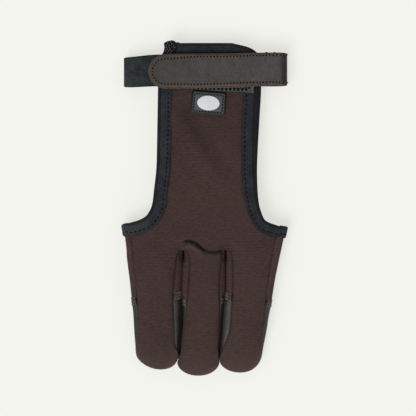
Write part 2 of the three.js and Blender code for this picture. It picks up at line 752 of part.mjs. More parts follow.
function loopPad() {
  const turned = radians(-3.4);
  const across = steps(-padWidth / 2, padWidth / 2, 3);
  const centre = new THREE.Vector2(padCentre, strapY - 2.8);
  const rows = steps(-padLength / 2, padLength / 2, 14).map((x) =>
    across.map((y) => {
      const p = new THREE.Vector2(x, y).rotateAround(new THREE.Vector2(), turned).add(centre);
      return vector(p.x, p.y, faceHeight(p.x, p.y) + seamGap + padWall);
    }),
  );
  return thicken(new Surface().grid(rows.reverse()), padWall);
}

const labelPatch = () =>
  plate(roundedOutline(labelLength, labelHeight, labelCorner), labelCentre, labelTurn, labelWall, clothFace);
const labelEmblem = () =>
  plate(ovalOutline(emblemLength, emblemHeight, 28), labelCentre, labelTurn, emblemWall, (x, y) =>
    clothFace(x, y) + labelWall + seamGap,
  );

// Materials, as the real glove shows them
const finish = (color, roughness) => new THREE.MeshStandardMaterial({ color, roughness, metalness: 0 });
const brownCloth = finish(0x433532, 0.9);
const blackTape = finish(0x2a2d31, 0.85);
const blackElastic = finish(0x2e3233, 0.9);
const darkLeather = finish(0x3b3a37, 0.5);
const tabLeather = finish(0x494846, 0.6);
const hookTape = finish(0x1d2022, 0.95);
const labelRubber = finish(0x51534f, 0.7);
const paleInlay = finish(0xd0d1d2, 0.6);

const glove = new THREE.Group();

function addPiece(name, solid, material) {
  const mesh = new THREE.Mesh(geometryFrom(solid), material);
  mesh.name = name;
  glove.add(mesh);
  return solid;
}

// Each piece is cut clear of the ones it is sewn to by a swollen copy of them.
const back = backPanel();
addPiece("back_panel", thicken(back, clothWall), brownCloth);
const backSwollen = thicken(back, clothWall, seamGap);

const facings = fingers.map((finger) => ({ name: finger.name, surface: facing(finger) }));
for (const { name, surface } of facings)
  addPiece(name + "_facing", thicken(surface, facingWall).subtract(backSwollen), darkLeather);
const facingsSwollen = facings.map(({ surface }) => thicken(surface, facingWall, seamGap));

const palm = palmPanel();
let palmSolid = thicken(palm, clothWall).subtract(backSwollen);
for (const cutter of facingsSwollen) palmSolid = palmSolid.subtract(cutter);
addPiece("palm_panel", palmSolid, brownCloth);
const palmSwollen = thicken(palm, clothWall, seamGap);

for (const [i, name] of [[0, "left_fourchette"], [1, "right_fourchette"]]) {
  let solid = thicken(fourchette(fingers[i], fingers[i + 1]), clothWall);
  for (const cutter of [backSwollen, palmSwollen, ...facingsSwollen]) solid = solid.subtract(cutter);
  addPiece(name, solid, brownCloth);
}

addPiece("edge_binding", binding(), blackTape);
addPiece("wrist_elastic", wristElastic(), blackElastic);
addPiece("closure_tab", closureTab(), tabLeather);
addPiece("loop_pad", loopPad(), hookTape);
addPiece("label_patch", labelPatch(), labelRubber);
addPiece("label_emblem", labelEmblem(), paleInlay);

// The origin is the middle of the footprint, on the table.
const box = new THREE.Box3().setFromObject(glove);
const middle = box.getCenter(new THREE.Vector3());
glove.position.set(-middle.x, -middle.y, -box.min.z);

export default glove;
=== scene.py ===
import math

import bmesh
import bpy
import numpy as np
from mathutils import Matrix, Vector


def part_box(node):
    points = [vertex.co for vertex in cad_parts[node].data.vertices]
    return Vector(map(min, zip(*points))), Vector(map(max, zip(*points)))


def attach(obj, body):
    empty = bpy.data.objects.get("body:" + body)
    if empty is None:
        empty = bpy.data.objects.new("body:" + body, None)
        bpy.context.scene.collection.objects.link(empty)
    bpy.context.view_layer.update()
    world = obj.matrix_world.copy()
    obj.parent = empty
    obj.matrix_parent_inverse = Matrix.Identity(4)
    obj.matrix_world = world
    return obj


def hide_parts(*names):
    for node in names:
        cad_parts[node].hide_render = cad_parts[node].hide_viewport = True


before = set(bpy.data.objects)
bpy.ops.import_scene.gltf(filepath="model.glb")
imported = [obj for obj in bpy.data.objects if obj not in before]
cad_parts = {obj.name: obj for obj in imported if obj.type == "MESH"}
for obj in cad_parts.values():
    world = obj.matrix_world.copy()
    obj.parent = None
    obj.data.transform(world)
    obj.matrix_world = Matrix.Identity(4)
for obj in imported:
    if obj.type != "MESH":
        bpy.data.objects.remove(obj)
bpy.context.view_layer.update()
print("frame loaded:", sorted(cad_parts))

# Lengths are in millimetres while a shape is worked out, about the crotch line of the fingers
# on the table. addMesh carries them into the frame, in metres.

turn = 2 * math.pi
upward = np.array([0.0, 0.0, 1.0])

hand = {
    "knuckleWidth": 105.0,
    "knuckleDepth": 17.0,
    "thickness": 17.0,
    "facingShare": 0.395,  # of a finger's length, where its leather starts
    "leanReach": (0.2, 0.56),  # shares of a finger between which the leather's slant dies out
    "liftEnd": -4.0,  # y from which the palm lies on the tape's fold
    "fingerGap": 0.3,
    "clothWall": 1.3,
    "seamGap": 0.3,
    "topPower": 2.3,
    "handPower": 2.6,
    "floorPower": 3.2,
    "tipPower": 2.1,
    "palmSeam": math.radians(48),
    "palmDip": 7.3,
    "tipWrap": 0.3,
    "wrapReach": (0.76, 0.93),
}
tongue = {"width": 65.5, "length": 117.2, "shift": 2.3, "crown": 1.5, "wristHeight": 13.6}
tape = {"width": 8.5, "wall": 1.0}
overTape = tape["wall"] + hand["seamGap"]

# Each finger from the crotch to the tip: share of its length, then shares of the knuckle width
fingerColumns = ("along", "centre", "half", "seamLeft", "seamRight", "depth")
fingers = {
    "left": {
        "length": 77.9,
        "tipShare": 0.165,
        "cutSlant": 2.1,
        "cutTop": 2.1,
        "tipShade": 0.0,
        "sideShade": (0.6, 0.22),
        "rows": [
            (0.0, -0.3147, 0.1757, 0.034, 0.017, 1.0),
            (0.06, -0.314, 0.175, 0.0335, 0.033, 1.0),
            (0.335, -0.3063, 0.1562, 0.0295, 0.0455, 0.98),
            (0.5, -0.2996, 0.1496, 0.027, 0.043, 0.96),
            (0.67, -0.2965, 0.145, 0.019, 0.036, 0.94),
            (0.795, -0.297, 0.1389, 0.0115, 0.025, 0.9),
            (0.9, -0.295, 0.1385, 0.007, 0.012, 0.87),
            (1.0, -0.276, 0.1365, 0.005, 0.006, 0.82),
        ],
    },
    "middle": {
        "length": 81.9,
        "tipShare": 0.12,
        "cutSlant": 0.65,
        "cutTop": 0.9,
        "tipShade": 0.4,
        "sideShade": (0.0, 0.1),
        "rows": [
            (0.0, -0.0076, 0.1286, 0.013, 0.01, 1.0),
            (0.06, -0.0078, 0.1287, 0.033, 0.017, 1.0),
            (0.317, -0.0133, 0.1343, 0.036, 0.033, 0.98),
            (0.476, -0.0157, 0.1243, 0.016, 0.015, 0.96),
            (0.635, -0.0233, 0.1224, 0.008, 0.0085, 0.94),
            (0.754, -0.0329, 0.1224, 0.006, 0.006, 0.92),
            (0.86, -0.0405, 0.1295, 0.0055, 0.0055, 0.89),
            (0.91, -0.0442, 0.1335, 0.0052, 0.0052, 0.87),
            (1.0, -0.0442, 0.1305, 0.005, 0.005, 0.84),
        ],
    },
    "right": {
        "length": 79.9,
        "tipShare": 0.15,
        "cutSlant": -2.45,
        "cutTop": 1.7,
        "tipShade": 0.0,
        "sideShade": (0.0, 0.42),
        "rows": [
            (0.0, 0.2986, 0.1719, 0.017, 0.0467, 1.0),
            (0.06, 0.2935, 0.1668, 0.031, 0.045, 1.0),
            (0.325, 0.2729, 0.1462, 0.038, 0.036, 0.98),
            (0.4875, 0.2547, 0.1432, 0.044, 0.024, 0.96),
            (0.65, 0.24, 0.139, 0.0455, 0.018, 0.94),
            (0.772, 0.2276, 0.1343, 0.018, 0.0114, 0.9),
            (0.86, 0.2195, 0.133, 0.01, 0.008, 0.875),
            (0.93, 0.2105, 0.137, 0.007, 0.007, 0.85),
            (1.0, 0.2135, 0.1395, 0.006, 0.005, 0.82),
        ],
    },
}
handRows = [(0.0, -0.4904, 0.4705), (0.5, -0.5, 0.4876), (1.0, -0.512, 0.504)]  # depth, left, right
outlineRows = [  # rise and flare of the tape's outer edge, left then right
    (0.005, 0.83, -0.0137, 0.726),
    (0.0213, 0.555, 0.006, 0.36),
    (0.0435, 0.355, 0.0256, 0.172),
    (0.0768, 0.238, 0.0657, 0.06),
    (0.115, 0.172, 0.111, -0.02),
    (0.188, 0.128, 0.188, -0.068),
    (0.299, 0.066, 0.299, -0.085),
    (0.41, 0.047, 0.41, -0.06),
    (0.576, 0.034, 0.576, 0.0),
    (0.742, 0.02, 0.742, 0.06),
    (0.896, 0.012, 0.88, 0.05),
    (0.937, -0.09, 0.93, -0.01),
    (0.962, -0.175, 0.9575, -0.16),
    (0.983, -0.185, 0.979, -0.42),
    (1.0, -0.185, 1.0, -0.98),
]
tongueRows = [(-0.2, 0.0), (0.0, 0.02), (0.15, 0.16), (0.35, 0.5), (0.55, 0.85), (0.7, 1.0), (1.1, 1.0)]

tongueTop = hand["knuckleDepth"] + tongue["length"]
loopHalf = 106.3 / 2
strapLine = tongueTop - 17.6

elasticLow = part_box("wrist_elastic")[0]
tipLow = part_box("middle_facing")[0]
shift = np.array([elasticLow.x * 1000 + loopHalf, tipLow.y * 1000 + fingers["middle"]["length"], 0.0])


# Curves and sections

def smoothRise(start, end, at):  # 0 before start, 1 after end, smooth between
    t = np.clip((np.asarray(at, float) - start) / (end - start), 0, 1)
    return t * t * (3 - 2 * t)


def spanBetween(rise, fall, at):  # 0 before the rise, 1 from there to the fall, 0 after it
    return smoothRise(*rise, at) * (1 - smoothRise(*fall, at))


def bell(distance, width):
    return np.exp(-(np.asarray(distance) / width) ** 2)


def hill(amount, middle, width, at):  # a bell of that height and width, about its middle
    return amount * bell(at - middle, width)


def between(a, b, t):
    return a + (b - a) * t


def unit(vectors):
    return vectors / np.maximum(np.linalg.norm(vectors, axis=-1, keepdims=True), 1e-9)


def curveThrough(rows, column, at):
    # a cubic between each two rows of a table, sloped like the rows around it
    table = np.array(rows, float)
    keys, values = table[:, 0], table[:, column]
    at = np.clip(np.asarray(at, float), keys[0], keys[-1])
    slopes = np.gradient(values)
    slopes[1:-1] = (values[2:] - values[:-2]) / (keys[2:] - keys[:-2])
    slopes[0] = (values[1] - values[0]) / (keys[1] - keys[0])
    slopes[-1] = (values[-1] - values[-2]) / (keys[-1] - keys[-2])
    i = np.clip(np.searchsorted(keys, at, side="right") - 1, 0, len(keys) - 2)
    span = keys[i + 1] - keys[i]
    t = (at - keys[i]) / span
    rise = t * t * (3 - 2 * t)
    bend = slopes[i] * t * (1 - t) ** 2 - slopes[i + 1] * t * t * (1 - t)
    return values[i] * (1 - rise) + values[i + 1] * rise + span * bend


def arcDistance(points, axis):
    # the lengths of the steps from point to point, added up
    steps = np.linalg.norm(np.diff(points, axis=axis), axis=-1)
    start = np.zeros_like(np.take(steps, [0], axis=axis))
    return np.concatenate([start, np.cumsum(steps, axis=axis)], axis=axis)


def edgeDistance(points):
    # along each row of the grid, from the nearer of its two ends
    fromStart = arcDistance(points, 1)
    return np.minimum(fromStart, fromStart[:, -1:] - fromStart)


def pointsAt(wanted, distance, line):
    # the line's points at the wanted distances along it
    return np.stack([np.interp(wanted, distance, line[:, i]) for i in range(line.shape[1])], axis=-1)


def spacedAlong(line, count):
    # the same line with its points evenly spaced
    distance = arcDistance(line, 0)
    return pointsAt(np.linspace(0, distance[-1], count), distance, line)


def floorLift(y):
    reach = -hand["facingShare"] * fingers["middle"]["length"]
    return overTape * smoothRise(reach, hand["liftEnd"], y)


def fingerSection(finger, y):
    # the section's centre, half width, heights and seam angles at each y
    along = np.clip(-y / finger["length"], 0, 1)
    at = {name: curveThrough(finger["rows"], i, along) for i, name in enumerate(fingerColumns)}
    intoTip = np.maximum(0, 1 - (1 - along) / finger["tipShare"])
    close = np.maximum(0, 1 - intoTip ** hand["tipPower"]) ** (1 / hand["tipPower"])
    middle = at["depth"] * hand["thickness"] / 2
    wrap = hand["tipWrap"] * smoothRise(*hand["wrapReach"], along)
    left, right = (
        np.arccos((1 - at[side] / at["half"]) ** (hand["topPower"] / 2)) - wrap
        for side in ("seamLeft", "seamRight")
    )
    return {
        "centre": at["centre"] * hand["knuckleWidth"],
        "half": (at["half"] * hand["knuckleWidth"] - hand["fingerGap"] / 2) * close,
        "middle": middle,
        "rise": middle * close,
        "drop": (middle - floorLift(y)) * close,
        "leftSeam": math.pi - left,
        "rightSeam": right,
        "rightSeamBelow": right + turn,  # the same seam, reached from under the finger
    }


def sectionPoints(section, angle, y):
    # a squarish ellipse: x and z are powers of the angle's cosine and sine
    c, s = np.cos(angle), np.sin(angle)
    power = np.where(s >= 0, 2 / hand["topPower"], 2 / hand["floorPower"])
    x = section["centre"] + section["half"] * np.sign(c) * np.abs(c) ** power
    z = section["middle"] + np.where(s >= 0, section["rise"], -section["drop"]) * np.abs(s) ** power
    return np.stack([x, np.broadcast_to(y, x.shape), z], axis=-1)


def sectionGrid(finger, y, start, end, columns):
    # the sections at each y, their angles from start to end, and the points there;
    # start and end are angles or names of seams
    y = y[:, None]
    section = fingerSection(finger, y)
    begin, finish = (np.broadcast_to(section.get(side, side), y.shape) for side in (start, end))
    angle = begin + (finish - begin) * np.linspace(0, 1, columns + 1)
    return section, angle, sectionPoints(section, angle, y)


def leanedGrid(finger, y, start, end, columns, share=None):
    # the same, moved along y where the leather starts, so that its cut end slants
    section, angle, points = sectionGrid(finger, y, start, end, columns)
    share = -y[:, None] / finger["length"] if share is None else share
    across = (points[..., 0] - section["centre"]) / np.maximum(section["half"], 1e-6)
    reachUp, reachDown = hand["leanReach"]
    near = spanBetween((reachUp, hand["facingShare"]), (hand["facingShare"], reachDown), share)
    points[..., 1] += finger["cutSlant"] * across * near
    return section, angle, points


def handSides(y):
    # x of the hand's left and right side at each y
    share = y / hand["knuckleDepth"]
    return tuple(curveThrough(handRows, i, share) * hand["knuckleWidth"] for i in (1, 2))


def handShare(x, y=0.0):
    # how far x is from the hand's left side to its right side
    left, right = handSides(y)
    return (x - left) / (right - left)


def handHeight(share, y, onBack):
    # an arch from side to side: 1 less a power of the distance from the middle, and its root
    across = np.minimum(1, np.abs(2 * share - 1))
    power = np.where(onBack, hand["handPower"], hand["floorPower"])
    bulge = np.maximum(0, 1 - across ** power) ** (1 / power)
    half = hand["thickness"] / 2
    return half + bulge * np.where(onBack, half, floorLift(y) - half)


def tongueHeight(x, y):
    # falls from the hand's height to the wrist's, less a crown that grows with the square of x
    fall = curveThrough(tongueRows, 1, (y - hand["knuckleDepth"]) / tongue["length"])
    off = (x - tongue["shift"]) / (tongue["width"] / 2)
    crown = tongue["crown"] * np.minimum(off * off, 1.6)
    return between(hand["thickness"], tongue["wristHeight"], fall) - crown


def backHeight(x, y):
    # the hand's arch passes into the tongue's height where the tongue begins
    toTongue = smoothRise(hand["knuckleDepth"] - 3, hand["knuckleDepth"] + 26, y)
    return between(handHeight(handShare(x, y), y, True), tongueHeight(x, y), toTongue)


def outlinePoints(side, at):
    # the tape's outer edge: y goes by the rise, x by the flare from the tongue's side to the knuckles'
    sign, column = (-1, 1) if side == "left" else (1, 3)
    rows = [(i / (len(outlineRows) - 1), *row) for i, row in enumerate(outlineRows)]
    tongueSide = tongue["shift"] + sign * tongue["width"] / 2
    knuckleSide = sign * (hand["knuckleWidth"] / 2 + tape["wall"])
    x = between(tongueSide, knuckleSide, curveThrough(rows, column + 1, at))
    y = hand["knuckleDepth"] + curveThrough(rows, column, at) * tongue["length"]
    return np.stack([x, y], axis=-1)


def clothEdge(side, at):
    # the outline, moved inwards to where the cloth ends inside the tape's fold
    at = np.asarray(at, float)
    step = 0.004
    along = outlinePoints(side, np.minimum(1, at + step)) - outlinePoints(side, np.maximum(0, at - step))
    along = unit(along) * (1 if side == "left" else -1)
    inwards = np.stack([along[..., 1], -along[..., 0]], axis=-1)
    return outlinePoints(side, at) + inwards * overTape


# Meshes

def addMesh(name, points, faces, uv=None, weld=False, marks=None):
    mesh = bpy.data.meshes.new(name)
    points = (np.asarray(points, float).reshape(-1, 3) + shift) / 1000
    points[:, 2] = np.maximum(points[:, 2], 0)  # nothing goes under the table
    mesh.from_pydata(points.tolist(), [], faces)
    for mark, values in (marks or {}).items():
        attribute = mesh.attributes.new(mark, "FLOAT", "POINT")
        attribute.data.foreach_set("value", np.asarray(values, np.float32).ravel())
    if uv is not None:
        layer = mesh.uv_layers.new(name="weave")
        corners = np.zeros(len(mesh.loops), np.int32)
        mesh.loops.foreach_get("vertex_index", corners)
        layer.data.foreach_set("uv", np.asarray(uv, float).reshape(-1, 2)[corners].ravel())
    if weld:
        bm = bmesh.new()
        bm.from_mesh(mesh)
        bmesh.ops.remove_doubles(bm, verts=bm.verts, dist=2e-6)
        bm.to_mesh(mesh)
        bm.free()
    mesh.validate()
    mesh.polygons.foreach_set("use_smooth", np.ones(len(mesh.polygons), bool))
    piece = bpy.data.objects.new(name, mesh)
    bpy.context.scene.collection.objects.link(piece)
    return piece


def openEdges(quads):
    # edges that only one quad has, in that quad's direction
    edges = np.concatenate([quads[:, [i, (i + 1) % 4]] for i in range(4)])
    size = int(edges.max()) + 1
    forward, back = edges[:, 0] * size + edges[:, 1], edges[:, 1] * size + edges[:, 0]
    real = edges[:, 0] != edges[:, 1]
    return edges[real & ~np.isin(forward, back)]


def sheetNormals(points, quads):
    flat = points.reshape(-1, 3)
    face = np.cross(flat[quads[:, 2]] - flat[quads[:, 0]], flat[quads[:, 3]] - flat[quads[:, 1]])
    normals = np.zeros_like(flat)
    for corner in range(4):
        np.add.at(normals, quads[:, corner], face)
    return unit(normals).reshape(points.shape)


def closedSheet(name, points, wall, keep=True, flip=False, relief=0.0, poles=(), marks=None):
    # a grid of points on the outside, a second layer a wall further in, and edges that join them;
    # marks are values from 0 to 1 for the material, one for each point
    count = points.shape[0] * points.shape[1]
    index = np.arange(count).reshape(points.shape[:2])
    quads = np.stack([index[:-1, :-1], index[:-1, 1:], index[1:, 1:], index[1:, :-1]], axis=-1)
    quads = quads[np.broadcast_to(keep, quads.shape[:2])]
    if flip:
        quads = quads[:, ::-1]
    normals = sheetNormals(points, quads)
    for row, direction in poles:
        normals[row] = direction
    uv = np.stack([arcDistance(points, 1), arcDistance(points, 0)], axis=-1) / 1000
    points = points + normals * np.broadcast_to(relief, points.shape[:2])[..., None]
    inner = points - normals * wall
    edge = openEdges(quads)
    rim = np.stack([edge[:, 1], edge[:, 0], edge[:, 0] + count, edge[:, 1] + count], axis=-1)
    faces = np.concatenate([quads, quads[:, ::-1] + count, rim])
    both = np.concatenate([points.reshape(-1, 3), inner.reshape(-1, 3)])
    marks = {key: np.concatenate([value.ravel()] * 2) for key, value in (marks or {}).items()}
    return addMesh(name, both, faces.tolist(), np.concatenate([uv.reshape(-1, 2)] * 2), bool(poles), marks)


def sweep(name, rings, marks=None):
    # rings of points one after another, joined round and closed at both ends
    index = np.arange(rings.shape[0] * rings.shape[1]).reshape(rings.shape[:2])
    after = np.roll(index, -1, axis=1)
    quads = np.stack([index[:-1], after[:-1], after[1:], index[1:]], axis=-1).reshape(-1, 4)
    closedRing = np.concatenate([rings, rings[:, :1]], axis=1)
    uv = np.stack([arcDistance(closedRing, 1)[:, :-1], arcDistance(rings, 0)], axis=-1) / 1000
    faces = quads.tolist() + [index[0][::-1].tolist(), index[-1].tolist()]
    return addMesh(name, rings, faces, uv, marks=marks)


def threads(name, starts, ends, normals, radius, bow=0.25):
    # one short thread from each start to its end, round, bowed outwards along its normal
    around, along = 6, 6
    normals = np.broadcast_to(normals, starts.shape)[:, None]
    t = np.linspace(0, 1, along)
    bowed = np.sin(np.pi * t) * bow * np.linalg.norm(ends - starts, axis=-1)[:, None]
    middle = starts[:, None] + (ends - starts)[:, None] * t[:, None] + normals * bowed[..., None]
    side = unit(np.cross(unit(ends - starts)[:, None], normals))
    angle = np.linspace(0, turn, around, endpoint=False)[:, None]
    ring = side[:, None] * np.cos(angle) + normals[:, None] * np.sin(angle)
    swell = radius * np.sqrt(np.maximum(0.02, 1 - (2 * t - 1) ** 4))
    points = middle[:, :, None] + swell[:, None, None] * ring
    index = np.arange(along * around).reshape(along, around)
    after = np.roll(index, -1, axis=1)
    quads = np.stack([index[:-1], index[1:], after[1:], after[:-1]], axis=-1).reshape(-1, 4)
    one = quads.tolist() + [index[0].tolist(), index[-1][::-1].tolist()]
    faces = [[v + i * along * around for v in face] for i in range(len(starts)) for face in one]
    return addMesh(name, points, faces)


# Shader building

class Wire:  # a shader socket that can stand in sums
    def __init__(self, finish, socket):
        self.finish, self.socket = finish, socket

    def math(self, operation, *values):
        return self.finish.node("ShaderNodeMath", {"operation": operation}, dict(enumerate(values)))

    def __add__(self, other):
        return self.math("ADD", self, other)

    def __radd__(self, other):
        return self.math("ADD", other, self)

    def __sub__(self, other):
        return self.math("SUBTRACT", self, other)

    def __rsub__(self, other):
        return self.math("SUBTRACT", other, self)

    def __mul__(self, other):
        return self.math("MULTIPLY", self, other)

    def __rmul__(self, other):
        return self.math("MULTIPLY", other, self)

    def size(self):
        return self.math("ABSOLUTE", self)

    def clipped(self):
        return self.math("MINIMUM", self.math("MAXIMUM", self, 0.0), 1.0)

    def over(self, start, end):  # 0 at the start, 1 at the end
        return ((self - start) * (1.0 / (end - start))).clipped()

    def swing(self, amount):  # a noise of 0 to 1 made to go both ways from nothing
        return (self - 0.5) * amount

    def wave(self, pitch):
        return self.math("SINE", self * (turn / pitch))


class Finish:  # one material and the nodes that make it
    def __init__(self, name):
        self.material = bpy.data.materials.new(name)
        self.material.use_nodes = True
        self.tree = self.material.node_tree
        self.shader = self.tree.nodes["Principled BSDF"]

    def feed(self, socket, value):
        if isinstance(value, Wire):
            self.tree.links.new(value.socket, socket)
        else:
            socket.default_value = value

    def node(self, kind, settings, sockets, output=0):
        made = self.tree.nodes.new(kind)
        for name, value in settings.items():
            setattr(made, name, value)
        for name, value in sockets.items():
            self.feed(made.inputs[name], value)
        return Wire(self, made.outputs[output])

    def place(self):
        return self.node("ShaderNodeTexCoord", {}, {}, "Object")

    def weave(self):
        return self.node("ShaderNodeUVMap", {"uv_map": "weave"}, {})

    def parts(self, vector):
        split = self.node("ShaderNodeSeparateXYZ", {}, {0: vector}).socket.node
        return [Wire(self, split.outputs[i]) for i in range(3)]

    def mark(self, name):
        return self.node("ShaderNodeAttribute", {"attribute_name": name}, {}, "Fac")

    def noise(self, vector, scale, detail=3.0, roughness=0.5):
        sockets = {"Vector": vector, "Scale": scale, "Detail": detail, "Roughness": roughness}
        return self.node("ShaderNodeTexNoise", {}, sockets)

    def cells(self, vector, scale):
        return self.node("ShaderNodeTexVoronoi", {}, {"Vector": vector, "Scale": scale})

    def scaled(self, vector, by):
        return self.node("ShaderNodeVectorMath", {"operation": "MULTIPLY"}, {0: vector, 1: by})

    def mixed(self, factor, first, second):
        first, second = [(*c, 1.0) if isinstance(c, tuple) else c for c in (first, second)]
        return self.node("ShaderNodeMix", {"data_type": "RGBA"}, {0: factor, 6: first, 7: second}, 2)

    def finished(self, colour, roughness, height=None, depth=0.0001, strength=1.0, **fixed):
        self.feed(self.shader.inputs["Base Color"], colour)
        self.feed(self.shader.inputs["Roughness"], roughness)
        if height is not None:
            sockets = {"Height": height, "Distance": depth, "Strength": strength}
            self.feed(self.shader.inputs["Normal"], self.node("ShaderNodeBump", {}, sockets))
        for name, value in fixed.items():
            self.shader.inputs[name.replace("_", " ")].default_value = value
        return self.material


def srgb(r, g, b):  # a colour seen on a screen, as light
    return tuple((c / 255 / 12.92) if c <= 10 else ((c / 255 + 0.055) / 1.055) ** 2.4 for c in (r, g, b))


def times(colour, factor):
    return tuple(c * factor for c in colour)


# pale tints: painted light on the brown cloth, rubbed wear on the tape
wearAndLightTint = {"cloth": srgb(106, 86, 78), "tape": srgb(64, 67, 68)}
# dark tints for the shade marks: painted shade, and on the label also the rim's own black
darkTint = {
    "cloth": srgb(17, 10, 11),
    "tape": srgb(11, 12, 14),
    "elastic": srgb(8, 9, 10),
    "leather": srgb(16, 15, 14),
    "rubber": srgb(9, 11, 12),
}
pitches = {  # metres from one rib, cord or twist to the next
    "clothRib": 0.00095,
    "clothStitch": (0.00045, 0.0005),
    "twill": 0.0011,
    "tapeYarn": 0.00055,
    "tapeRib": 0.0016,
    "elasticCord": 0.00115,
    "elasticPick": 0.0007,
    "threadTwist": 0.0004,
}


def brownClothFinish(name, tint, gloss=0.12):
    # a ribbed stretch cloth: fine ribs across the hand that fade in and out, a tricot grain in them,
    # uneven dye, painted shade in the creases and seams, and painted light that pales it in places, as
    # towards the fingertips and on their edges
    f = Finish(name)
    place = f.place()
    across, along, _ = f.parts(place)
    wander = f.noise(place, 40.0, 2.0) * 0.0016
    ribs = (along + wander).wave(pitches["clothRib"])
    patches = f.noise(place, 45.0, 2.0).over(0.42, 0.62)
    fine = along.wave(pitches["clothStitch"][0]) * across.wave(pitches["clothStitch"][1])
    dye = f.noise(place, 22.0, 4.0)
    fleck = f.noise(f.scaled(place, (700.0, 2200.0, 700.0)), 1.0, 2.0)
    grain = f.noise(f.scaled(place, (420.0, 900.0, 420.0)), 1.0, 3.0, 0.7)
    shade = ribs * patches * 0.3 + dye.swing(0.5) + fleck.swing(0.5) + grain.swing(1.5) + 0.5
    colour = f.mixed(shade.clipped(), times(tint, 0.55), times(tint, 1.45))
    colour = f.mixed(f.mark("wearAndLight"), colour, wearAndLightTint["cloth"])
    colour = f.mixed(f.mark("shade"), colour, darkTint["cloth"])
    height = ribs * 0.5 + fine * 0.35 + fleck * 0.6
    soft = {"Sheen_Weight": gloss * 0.4, "Sheen_Roughness": 0.5, "Specular_IOR_Level": gloss}
    return f.finished(colour, 0.9, height, 0.00012, 0.6, **soft)


def tapeFinish(name, tint):
    # twill tape: slanting ribs along the tape, rubbed in patches, with painted shade in its folds and painted
    # shadow under the tab
    f = Finish(name)
    u, v, _ = f.parts(f.weave())
    place = f.place()
    twill = (u + v * 0.8).wave(pitches["twill"])
    yarn = v.wave(pitches["tapeYarn"])
    patches = f.noise(place, 160.0, 4.0)
    rub = f.noise(place, 700.0, 3.0, 0.7)
    ribs = u.wave(pitches["tapeRib"])
    shade = ribs * 0.13 + twill * 0.16 + yarn * 0.06 + patches.swing(1.1) + rub.swing(1.4) + 0.5
    colour = f.mixed(shade.clipped(), times(tint, 0.42), times(tint, 1.66))
    colour = f.mixed((f.mark("wearAndLight") * (rub + 0.5)).clipped(), colour, wearAndLightTint["tape"])
    colour = f.mixed(f.mark("shade"), colour, darkTint["tape"])
    height = twill * 0.5 + yarn * 0.3 + patches * 0.6
    return f.finished(colour, 0.85, height, 0.0002, 0.7, Sheen_Weight=0.04, Specular_IOR_Level=0.15)


def elasticFinish(name, tint):
    # woven elastic: cords lengthwise, weft picks across
    f = Finish(name)
    u, v, _ = f.parts(f.weave())
    cords = u.wave(pitches["elasticCord"])
    picks = v.wave(pitches["elasticPick"]) * cords.size()
    patches = f.noise(f.place(), 140.0, 3.0)
    rub = f.noise(f.place(), 480.0, 3.0, 0.7)
    shade = cords * 0.18 + picks * 0.16 + patches.swing(1.6) + rub.swing(1.8) + 0.48
    colour = f.mixed(shade.clipped(), times(tint, 0.3), times(tint, 1.6))
    colour = f.mixed(f.mark("shade"), colour, darkTint["elastic"])
    return f.finished(colour, 0.85, cords * 0.6 + picks * 0.4, 0.0002, 0.6, Specular_IOR_Level=0.3)


def leatherFinish(name, tint, grain, roughness, gloss, rim=None):
    # fine leather grain: cells and pores, a little rubbed on the high places, brown at a cut edge, where it
    # is also paler as painted highlight; painted shade where the shade mark is
    f = Finish(name)
    place = f.place()
    cells = f.cells(place, grain)
    creases = f.noise(place, 160.0, 5.0, 0.6)
    cloud = f.noise(place, 30.0, 3.0)
    pores = f.noise(place, 850.0, 3.0, 0.7)
    blots = f.noise(place, 330.0, 3.0, 0.7)
    shade = cloud.swing(0.7) + creases.swing(0.8) + pores.swing(1.2) + blots.swing(1.3) + cells * 0.12 + 0.45
    colour = f.mixed(shade.clipped(), times(tint, 0.65), times(tint, 1.35))
    if rim:
        colour = f.mixed((f.mark("rim") * (creases + 0.5)).clipped(), colour, rim)
    colour = f.mixed(f.mark("shade"), colour, darkTint["leather"])
    rough = creases.swing(0.25) + roughness
    return f.finished(colour, rough, cells * 0.5 + creases * 0.8, 0.00012, 0.5, Specular_IOR_Level=gloss)


def threadFinish(name, tint):
    # a twisted thread
    f = Finish(name)
    x, y, z = f.parts(f.place())
    twist = (x + y + z).wave(pitches["threadTwist"])
    colour = f.mixed((twist * 0.25 + 0.5).clipped(), times(tint, 0.7), times(tint, 1.3))
    return f.finished(colour, 0.75, twist, 0.00005, 0.5, Specular_IOR_Level=0.05)


def rubberFinish(name, tint, roughness=0.55):
    # moulded rubber with a fine matt texture, black where it is marked: the rim's own black, partly painted
    # shadow
    f = Finish(name)
    place = f.place()
    grain = f.noise(place, 2200.0, 2.0)
    smudge = f.noise(place, 120.0, 3.0)
    shade = (smudge.swing(0.5) + grain.swing(0.4) + 0.5).clipped()
    colour = f.mixed(shade, times(tint, 0.82), times(tint, 1.18))
    colour = f.mixed(f.mark("shade"), colour, darkTint["rubber"])
    return f.finished(colour, smudge.swing(0.2) + roughness, grain, 0.00005, 0.5, Specular_IOR_Level=0.12)


